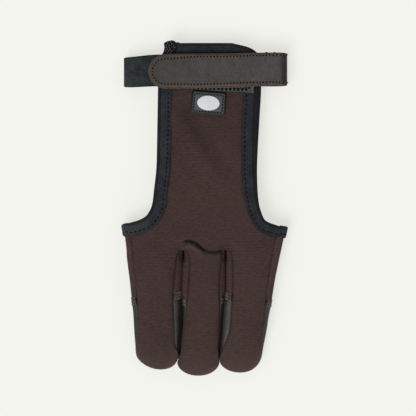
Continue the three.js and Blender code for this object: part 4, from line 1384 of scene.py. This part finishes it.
strap = {
    "elasticWidth": 19.4,
    "elasticWall": 1.4,
    "elasticSlant": 0.8,
    "elasticEdge": (0.8, 0, 0.7),
    "elasticTurn": 6.5,
    "tabWidth": 22.4,
    "tabWall": 2.4,
    "tabReach": 37.0,
    "tabTurn": 5.5,
    "tipRows": 26,
    "foldShade": (48.6, 49.9),
    "edgeShade": (50.2, 51.6),
    "tipShade": 0.25,
    "tipShadeEnd": (-30, -2),
    "rimReach": (0.5, 1.4),
    "rimWidth": (0.7, 1.2),  # everywhere, and added along the lower edge as painted highlight
    "edgeRows": [  # along the strap: the tab's lower and upper edge
        (-37.0, -12.3, 10.1),
        (-15.0, -12.3, 10.2),
        (-5.0, -12.1, 10.25),
        (6.7, -11.9, 10.3),
        (19.7, -11.6, 10.45),
        (31.4, -10.8, 10.9),
        (43.1, -9.9, 11.1),
        (53.2, -9.8, 11.1),
    ],
    "stitchRows": [  # along the strap: how far in from the upper and lower edge the stitches are
        (-37.0, 2.7, 2.7),
        (-24.0, 3.2, 2.8),
        (-15.0, 2.6, 2.75),
        (-5.0, 2.1, 2.4),
        (6.7, 1.95, 2.5),
        (19.7, 1.9, 2.9),
        (31.4, 1.8, 2.4),
        (43.1, 1.8, 1.8),
        (53.2, 1.8, 1.6),
    ],
    "stitchPitch": 2.12,
    "knots": [  # x, y and half length
        (39.3, 127.2, 1.0),
        (44.5, 127.2, 0.8),
        (52.3, 126.7, 1.2),
        (52.5, 108.5, 1.2),
    ],
    "knotSink": 0.3,
}
pad = {
    "length": 47.5,
    "width": 19.0,
    "wall": 1.2,
    "turn": math.radians(-3.4),
    "drop": 4.0,
    "fromRight": 3.3,
}
tongueLeft, tongueRight = [tongue["shift"] + s * tongue["width"] / 2 for s in (-1, 1)]
padCentre = tongueRight - pad["fromRight"] - pad["length"] / 2
tipRound = strap["tabWidth"] * 0.52


def faceHeight(x, y):
    # of the tongue with its tape
    inside = np.clip(x, tongueLeft, tongueRight)
    fromEdge = np.minimum(inside - tongueLeft, tongueRight - inside)
    onTape = 1 - smoothRise(tape["width"] + 3, tape["width"] + 6, fromEdge)
    return tongueHeight(inside, y) + overTape * onTape


def halfTurn(side, wall, reach, high, low, count=24):
    # half an ellipse of x and z at a side of the loop
    centre = side * (loopHalf - wall / 2 - reach)
    angle = np.radians(np.linspace(90, -90, count))
    x = centre + side * reach * np.cos(angle)
    return np.stack([x, (high + low) / 2 + (high - low) / 2 * np.sin(angle)], axis=-1)


def stripRings(line, wall, low, high, across=14, edgeRound=0.35):
    # a strip along a line of x and z, its section a flat bar with rounded edges
    along = unit(np.gradient(line, axis=0))
    out = np.stack([-along[:, 1], along[:, 0]], axis=-1)
    corner = np.linspace(0, np.pi / 2, 4)
    inset, offset = edgeRound * (1 - np.cos(corner)), wall / 2 - edgeRound * (1 - np.sin(corner))
    shares = np.linspace(0, 1, across)[1:-1]
    flat = np.zeros(len(shares))
    shares = np.concatenate([0 * corner, shares, 0 * corner + 1])
    insets = np.concatenate([inset, flat, -inset[::-1]])
    offsets = np.concatenate([offset, flat + wall / 2, offset[::-1]])
    # over the top from the low edge to the high one, and back underneath
    shares, insets = (np.concatenate([top, top[::-1]]) for top in (shares, insets))
    offsets = np.concatenate([offsets, -offsets[::-1]])
    y = between(low[:, None], high[:, None], shares) + insets
    return np.stack([line[:, :1] + out[:, :1] * offsets, y, line[:, 1:] + out[:, 1:] * offsets], axis=-1)


def evenLine(*parts, step=0.9):
    # the parts one after another, with points a step apart
    line = np.concatenate(parts)
    return spacedAlong(line, int(arcDistance(line, 0)[-1] / step))


def elasticLine():
    # x and z: over the tongue's face, half round at the left, and under the wrist up to the tab's end
    wall = strap["elasticWall"]
    floor, overFace = wall / 2, hand["seamGap"] + wall / 2
    front = np.linspace(padCentre - pad["length"] / 2 - 1.8, tongueLeft - 1, 20)
    frontLine = np.stack([front, faceHeight(front, strapLine) + overFace], axis=-1)
    high = float(faceHeight(tongueLeft, strapLine)) + overFace - 1.2
    bend = halfTurn(-1, wall, strap["elasticTurn"], high, floor)
    end = loopHalf - 8
    under = np.linspace(-30, end, 60)
    rise = smoothRise(end - 19, end - 13.5, under)
    underLine = np.stack([under, between(floor, strap["tabWall"] + overFace, rise)], axis=-1)
    return evenLine(frontLine, bend, underLine)


def makeElastic():
    # a flat bar's section, carried along its line
    line = elasticLine()
    slant = strap["elasticSlant"] * (1 - smoothRise(-loopHalf, tongueLeft, line[:, 0]))
    low = strapLine - strap["elasticWidth"] / 2 - slant
    high = strapLine + strap["elasticWidth"] / 2 - 2 * slant + 0.25
    rings = stripRings(line, strap["elasticWall"], low, high)
    return sweep("elastic_band", rings, {"shade": hill(*strap["elasticEdge"], rings[..., 1] - high[:, None])})


dress(makeElastic(), "elastic", "elastic", "wrist_elastic")

# height of the tab's underside over the tongue, by x
overElastic = overTape + 2 * hand["seamGap"] + strap["elasticWall"]
tabLifts = [
    (-strap["tabReach"], overElastic),
    (tongueLeft + tape["width"] + 4, overElastic),
    (padCentre, overElastic - 0.3),
    (tongueRight - tape["width"] - 2.5, overElastic - 0.15),
    (tongueRight + 3, overElastic - 0.1),
]


def tabHeight(x):
    # of the middle of its wall
    onTongue = tongueHeight(np.clip(x, tongueLeft, tongueRight), strapLine)
    return onTongue + curveThrough(tabLifts, 1, x) + strap["tabWall"] / 2


def tabLine():
    # x and z: from the round tip over the tongue, half round at the right, and a bit underneath
    floor, last = strap["tabWall"] / 2, strap["tipRows"] - 1
    tip = -strap["tabReach"] + tipRound * (1 - np.cos(np.linspace(0, np.pi / 2, last + 1)))
    top = np.concatenate([tip, np.linspace(tip[-1] + 0.9, tongueRight + 2, 80)])
    topLine = np.stack([top, tabHeight(top)], axis=-1)
    bend = halfTurn(1, strap["tabWall"], strap["tabTurn"], float(tabHeight(tongueRight)) - 0.2, floor)
    under = np.array([[loopHalf - 12, floor], [loopHalf - 17, floor]])
    return np.concatenate([topLine[:last], evenLine(topLine[last:], bend, under)])


def tabEdges(line):
    # the tab's two edges in y: a round end, and a slight slant towards the fold;
    # the run underneath is as wide as the fold
    x, row = line[:, 0], np.arange(len(line))
    intoTip = np.clip(1 - (x + strap["tabReach"]) / tipRound, 0, 1) * (row < strap["tipRows"])
    x = np.where(row > np.argmax(x), loopHalf, x)
    low, high = (curveThrough(strap["edgeRows"], i, x) for i in (1, 2))
    centre, half = (low + high) / 2, (high - low) / 2 * np.sqrt(1 - intoTip ** 2 + 1e-6)
    return strapLine + centre - half, strapLine + centre + half


def makeTab():
    line = tabLine()
    low, high = tabEdges(line)
    rings = stripRings(line, strap["tabWall"], low, high, across=40, edgeRound=0.6)
    # rim: how near each point is to the tab's edge, whose paler brown is partly painted highlight, wider
    # along the lower edge; shade: painted shade where the tab bends down at the right, and darker towards the
    # round tip
    x, y = rings[..., 0], rings[..., 1]
    topSide = (np.arange(len(line)) < len(line) * 0.55)[:, None]
    fromCentre = y - ((low + high) / 2)[:, None]
    fromTip = x + strap["tabReach"]
    fromRound = strap["tabWidth"] / 2 - np.hypot((fromTip - tipRound) / 1.04, fromCentre)
    fromSides = np.minimum(y - low[:, None], high[:, None] - y)
    fromEdge = np.where(topSide & (fromTip < tipRound), fromRound, fromSides)
    lowSide = (1 - smoothRise(-9, -3, fromCentre)) * (1 - smoothRise(10, 35, x))
    width, added = strap["rimWidth"]
    rim = 1 - smoothRise(*strap["rimReach"], fromEdge / (width + added * lowSide))
    shade = 0.55 * smoothRise(*strap["foldShade"], x) + 0.4 * smoothRise(*strap["edgeShade"], x)
    shade = shade + strap["tipShade"] * (1 - smoothRise(*strap["tipShadeEnd"], x))
    return sweep("leather_tab", rings, {"rim": rim, "shade": shade})


def makeTabStitches():
    # along both edges of the top run and round the tip, a fixed way in from the edge
    pitch, tipInset = strap["stitchPitch"], strap["stitchRows"][0][1]
    line = tabLine()
    low, high = tabEdges(line)
    tipEnd = -strap["tabReach"] + tipRound
    topCount = int(np.argmax(line[:, 0] > loopHalf - 1.6))
    body = (line[:, 0] > tipEnd) & (np.arange(len(line)) < topCount)
    x, z = line[body].T
    upper, lower = (curveThrough(strap["stitchRows"], i, x) for i in (1, 2))
    runLow = np.stack([x, low[body] + lower, z], axis=-1)
    runHigh = np.stack([x, high[body] - upper, z], axis=-1)
    angle = np.linspace(np.pi / 2, 3 * np.pi / 2, 60)
    tipX = tipEnd + (tipRound - tipInset) * np.cos(angle)
    tipY = between(runHigh[0, 1], runLow[0, 1], (1 - np.sin(angle)) / 2)
    tip = np.stack([tipX, tipY, np.interp(tipX, *line[:topCount].T)], axis=-1)
    path = np.concatenate([runHigh[::-1], tip[1:-1], runLow])
    distance = arcDistance(path, 0)
    starts = np.arange(int(distance[-1] / pitch)) * pitch
    ahead = unit(pointsAt(starts + 0.5, distance, path) - pointsAt(starts - 0.5, distance, path))
    out = unit(upward - ahead * ahead[:, 2:])
    # the dark pieces sunk between the stitches are painted shade in the stitch holes
    for name, finish, first, last, radius, lift in (
        ("leather_tab_stitches", "tabThread", 0.0, 0.42, 0.42, 0.1),
        ("leather_tab_holes", "darkThreadAndHoleShade", 0.44, 1.0, 0.78, -0.45),
    ):
        rise = out * (strap["tabWall"] / 2 + lift)
        begin, end = (pointsAt(starts + pitch * part, distance, path) + rise for part in (first, last))
        dress(threads(name, begin, end, out, radius, 0.05), finish, "tab_leather")


def makeTabKnots():
    # thread ends that stand out at the tab's edges, by the fold
    line = tabLine()
    line = line[:int(np.argmax(line[:, 0]))]
    x, y, half = np.array(strap["knots"]).T
    z = np.interp(x, *line.T) + strap["tabWall"] / 2 - strap["knotSink"]
    begin, end = np.stack([x - half, y, z], axis=-1), np.stack([x + half, y + 0.25, z], axis=-1)
    dress(threads("leather_tab_knots", begin, end, upward, 0.65, 0.1), "knotThread", "tab_leather")


dress(makeTab(), "tab", "tab_leather", "closure_tab")
makeTabStitches()
makeTabKnots()


hooks = {
    "pitch": (1.8, 1.5),
    "inset": (5.0, 2.2),
    "height": 0.75,
    "radius": 0.24,
    "lean": (0.5, 0.1, 0.0),
    "edgePitch": 2.6,
    "edgeRow": (1.0, 2.9),
    "edgeLift": 0.45,
    "edgeSlant": 0.031,
    "edgeRadius": 0.75,
}


def padPlace(u, v):
    # a point of the pad's own length and width, turned and moved to its place
    c, s = math.cos(pad["turn"]), math.sin(pad["turn"])
    x = padCentre + u * c - v * s
    y = strapLine - pad["drop"] + u * s + v * c
    return np.stack([x, y, faceHeight(x, y) + hand["seamGap"] + pad["wall"] * 0.6], axis=-1)


def padGrid(name, wall, lift, lengths, widths, counts):
    # a flat strip of the pad between two lengths and two widths, at a lift over its face
    u, v = (np.linspace(*ends, count) for ends, count in zip((lengths, widths), counts))
    points = padPlace(*np.meshgrid(u, v, indexing="ij")) + upward * lift
    return closedSheet(name, points[::-1], wall)


def makePad():
    # a strip of hook tape, with a pale woven edge along its lower side and at its right end
    end, side = pad["length"] / 2, pad["width"] / 2
    strip = padGrid("hook_pad", pad["wall"] * 0.6, 0.0, (-end, end), (-side, side), (130, 40))
    dress(strip, "hookTape", "hook_pad", "loop_pad")
    for name, lengths, widths in (
        ("pad_lower_edge", (-end, end - 2.3), (0.05 - side, 2.4 - side)),
        ("pad_right_edge", (end - 2.2, end - 0.05), (0.05 - side, side - 0.05)),
    ):
        dress(padGrid(name, 0.24, 0.28, lengths, widths, (60, 24)), "selvedge", "hook_pad")


def makeHooks():
    length, width = pad["length"] - hooks["inset"][0], pad["width"] - hooks["inset"][1]
    pitchU, pitchV = hooks["pitch"]
    u, v = np.meshgrid(np.arange(0, length, pitchU), np.arange(0, width, pitchV), indexing="ij")
    base = padPlace(u.ravel() - length / 2 - 0.8, v.ravel() - width / 2 + 0.4)
    lean = np.where(np.arange(len(base)) % 2, 1.0, -1.0)[:, None] * np.array(hooks["lean"])
    top = base + upward * hooks["height"] + lean
    down = np.array([0.0, -1.0, 0.0])
    dress(threads("pad_hooks", base, top, down, hooks["radius"]), "greyThread", "hook_pad")
    # the outermost row of black hooks, flattened over the pale edge
    end, side = pad["length"] / 2, pad["width"] / 2
    u = np.arange(1 - end, end - 2.9, hooks["edgePitch"])
    slant = hooks["edgeSlant"] * (u - end)
    low, high = (padPlace(u, slant - side + v) + upward * hooks["edgeLift"] for v in hooks["edgeRow"])
    dress(threads("pad_edge_hooks", low, high, upward, hooks["edgeRadius"], 0.1), "darkThreadAndHoleShade", "hook_pad")


makePad()
makeHooks()
print("strap made")


# The label

label = {
    "length": 22.4,
    "height": 15.1,
    "corner": 2.2,
    "wall": 1.2,
    "centre": (tongue["shift"] - 0.4, tongueTop - 39.05),
    "turn": math.radians(-4.5),
    "rim": 0.9,
    "rimHeight": 0.3,
    "lowerRimLight": 0.35,
    "lowerRimLightFrom": (3, 7),
    "emblem": (14.5, 9.6),
    "emblemSteps": [  # share of the oval, height over the label's face
        (1.0, -0.1),
        (1.0, 0.35),
        (0.975, 0.5),
        (0.93, 0.56),
        (0.6, 0.6),
        (0.1, 0.62),
    ],
    "stitches": 30,
    "stitchInset": 1.9,
    "stitchCorner": 0.9,
    "stitchShare": 0.55,
    "stitchRadius": 0.42,
}
labelTop = hand["seamGap"] + label["wall"]
labelFace = labelTop - label["rimHeight"]


def labelPlace(flat, height):
    # points of the label's own length and height, turned, moved to its place and lifted over the cloth
    c, s = math.cos(label["turn"]), math.sin(label["turn"])
    x, y = flat.T
    turned = np.stack([x * c - y * s, x * s + y * c], axis=-1)
    return onCloth(turned + label["centre"], height)


def roundedRing(length, height, corner, perCorner=10):
    # a rounded rectangle: quarter circles about the centres of its corners
    quarters = []
    for i, (sx, sy) in enumerate([(1, 1), (-1, 1), (-1, -1), (1, -1)]):
        angle = np.linspace(0, np.pi / 2, perCorner) + i * np.pi / 2
        x = sx * (length / 2 - corner) + corner * np.cos(angle)
        y = sy * (height / 2 - corner) + corner * np.sin(angle)
        quarters.append(np.stack([x, y], axis=-1))
    return np.concatenate(quarters)


def makeLabel():
    # rounded rectangles, from the foot of its edge up and in to the middle of its face
    top, face, rim = labelTop, labelFace, label["rim"]
    steps = [  # distance in from the edge, height over the cloth, darkness: the rim's black, partly painted shadow, and painted shade in the stitch groove
        (0.1, 0.05, 1),
        (0.0, 0.25, 1),
        (0.0, top - 0.25, 1),
        (0.12, top - 0.05, 1),
        (0.35, top, 1),
        (rim, top, 1),
        (rim + 0.15, top - 0.1, 0.2),
        (1.5, top - 0.1, 0.15),
        (1.6, face - 0.1, 0.3),
        (2.2, face - 0.1, 0.3),
        (2.35, face, 0),
        (4.5, face, 0),
        (7.2, face, 0),
    ]
    rings, shades = [], []
    for inset, height, dark in steps:
        sides = label["length"] - 2 * inset, label["height"] - 2 * inset
        ring = roundedRing(*sides, max(label["corner"] - inset, 0.25))
        rings.append(labelPlace(ring, height))
        # the rim's darkness is lighter along the lower side, as painted light
        shades.append(dark * (1 - label["lowerRimLight"] * smoothRise(*label["lowerRimLightFrom"], -ring[:, 1])))
    return sweep("label_plate", np.array(rings), {"shade": np.concatenate(shades)})


def makeEmblem():
    # a plain low oval
    angle = np.linspace(0, turn, 72, endpoint=False)
    length, height = label["emblem"]
    oval = np.stack([length / 2 * np.cos(angle), height / 2 * np.sin(angle)], axis=-1)
    rings = [labelPlace(oval * share, labelFace + rise) for share, rise in label["emblemSteps"]]
    return sweep("label_oval", np.array(rings))


def makeLabelStitches():
    sides = (label[side] - 2 * label["stitchInset"] for side in ("length", "height"))
    ring = roundedRing(*sides, label["stitchCorner"], 12)
    ring = np.concatenate([ring, ring[:1]])
    distance = arcDistance(ring, 0)
    pitch = distance[-1] / label["stitches"]
    starts = np.arange(label["stitches"]) * pitch
    begin, end = (
        labelPlace(pointsAt(starts + pitch * part, distance, ring), labelFace)
        for part in (0, label["stitchShare"])
    )
    dress(threads("label_stitches", begin, end, upward, label["stitchRadius"], 0.05), "darkThreadAndHoleShade", "label")


dress(makeLabel(), "label", "label", "label_patch")
dress(makeEmblem(), "inlay", "label_inlay", "label_emblem")
makeLabelStitches()
print("label made")


# Floor, light and camera

studio = {
    "floor": srgb(244, 245, 239),
    "floorSide": 3000.0,
    "glow": 0.7,
    "sky": 0.5,
    "key": 1.8,
    "keyAngle": 0.6,
    "keyFrom": (-0.3, -0.42, 0.86),
    "lens": 160.0,
    "sensor": 36.0,
    "pixel": 0.65,
    "imageWidth": 416,
    "centre": (1.95, 0.33),
    "focusHeight": 9.0,
}


def makeFloor():
    corners = np.array([(-1, -1, 0), (1, -1, 0), (1, 1, 0), (-1, 1, 0)])
    floor = addMesh("table", corners * studio["floorSide"] - shift, [[0, 1, 2, 3]])
    f = Finish("paleTable")
    light = (*studio["floor"], 1.0)
    glow = {"Specular_IOR_Level": 0.0, "Emission_Color": light, "Emission_Strength": studio["glow"]}
    floor.data.materials.append(f.finished((*times(studio["floor"], 1 - studio["glow"]), 1.0), 0.9, **glow))


def makeLight():
    world = bpy.data.worlds.new("studioSky")
    world.use_nodes = True
    sky = world.node_tree.nodes["Background"]
    sky.inputs[0].default_value = (1.0, 1.0, 1.0, 1.0)
    sky.inputs[1].default_value = studio["sky"]
    bpy.context.scene.world = world
    key = bpy.data.lights.new("softKey", "SUN")
    key.angle = studio["keyAngle"]
    key.energy = studio["key"]
    lamp = bpy.data.objects.new("softKey", key)
    lamp.rotation_euler = Vector(studio["keyFrom"]).to_track_quat("Z", "Y").to_euler()
    bpy.context.scene.collection.objects.link(lamp)


def makeCamera():
    data = bpy.data.cameras.new("photoCamera")
    data.lens = studio["lens"]
    data.sensor_width = studio["sensor"]
    camera = bpy.data.objects.new("photoCamera", data)
    distance = studio["imageWidth"] * studio["pixel"] * data.lens / data.sensor_width
    x, y = studio["centre"]
    camera.location = (x / 1000, y / 1000, (distance + studio["focusHeight"]) / 1000)
    bpy.context.scene.collection.objects.link(camera)
    bpy.context.scene.camera = camera


makeFloor()
makeLight()
makeCamera()
bpy.context.scene.view_settings.view_transform = "Standard"
print("stage set")
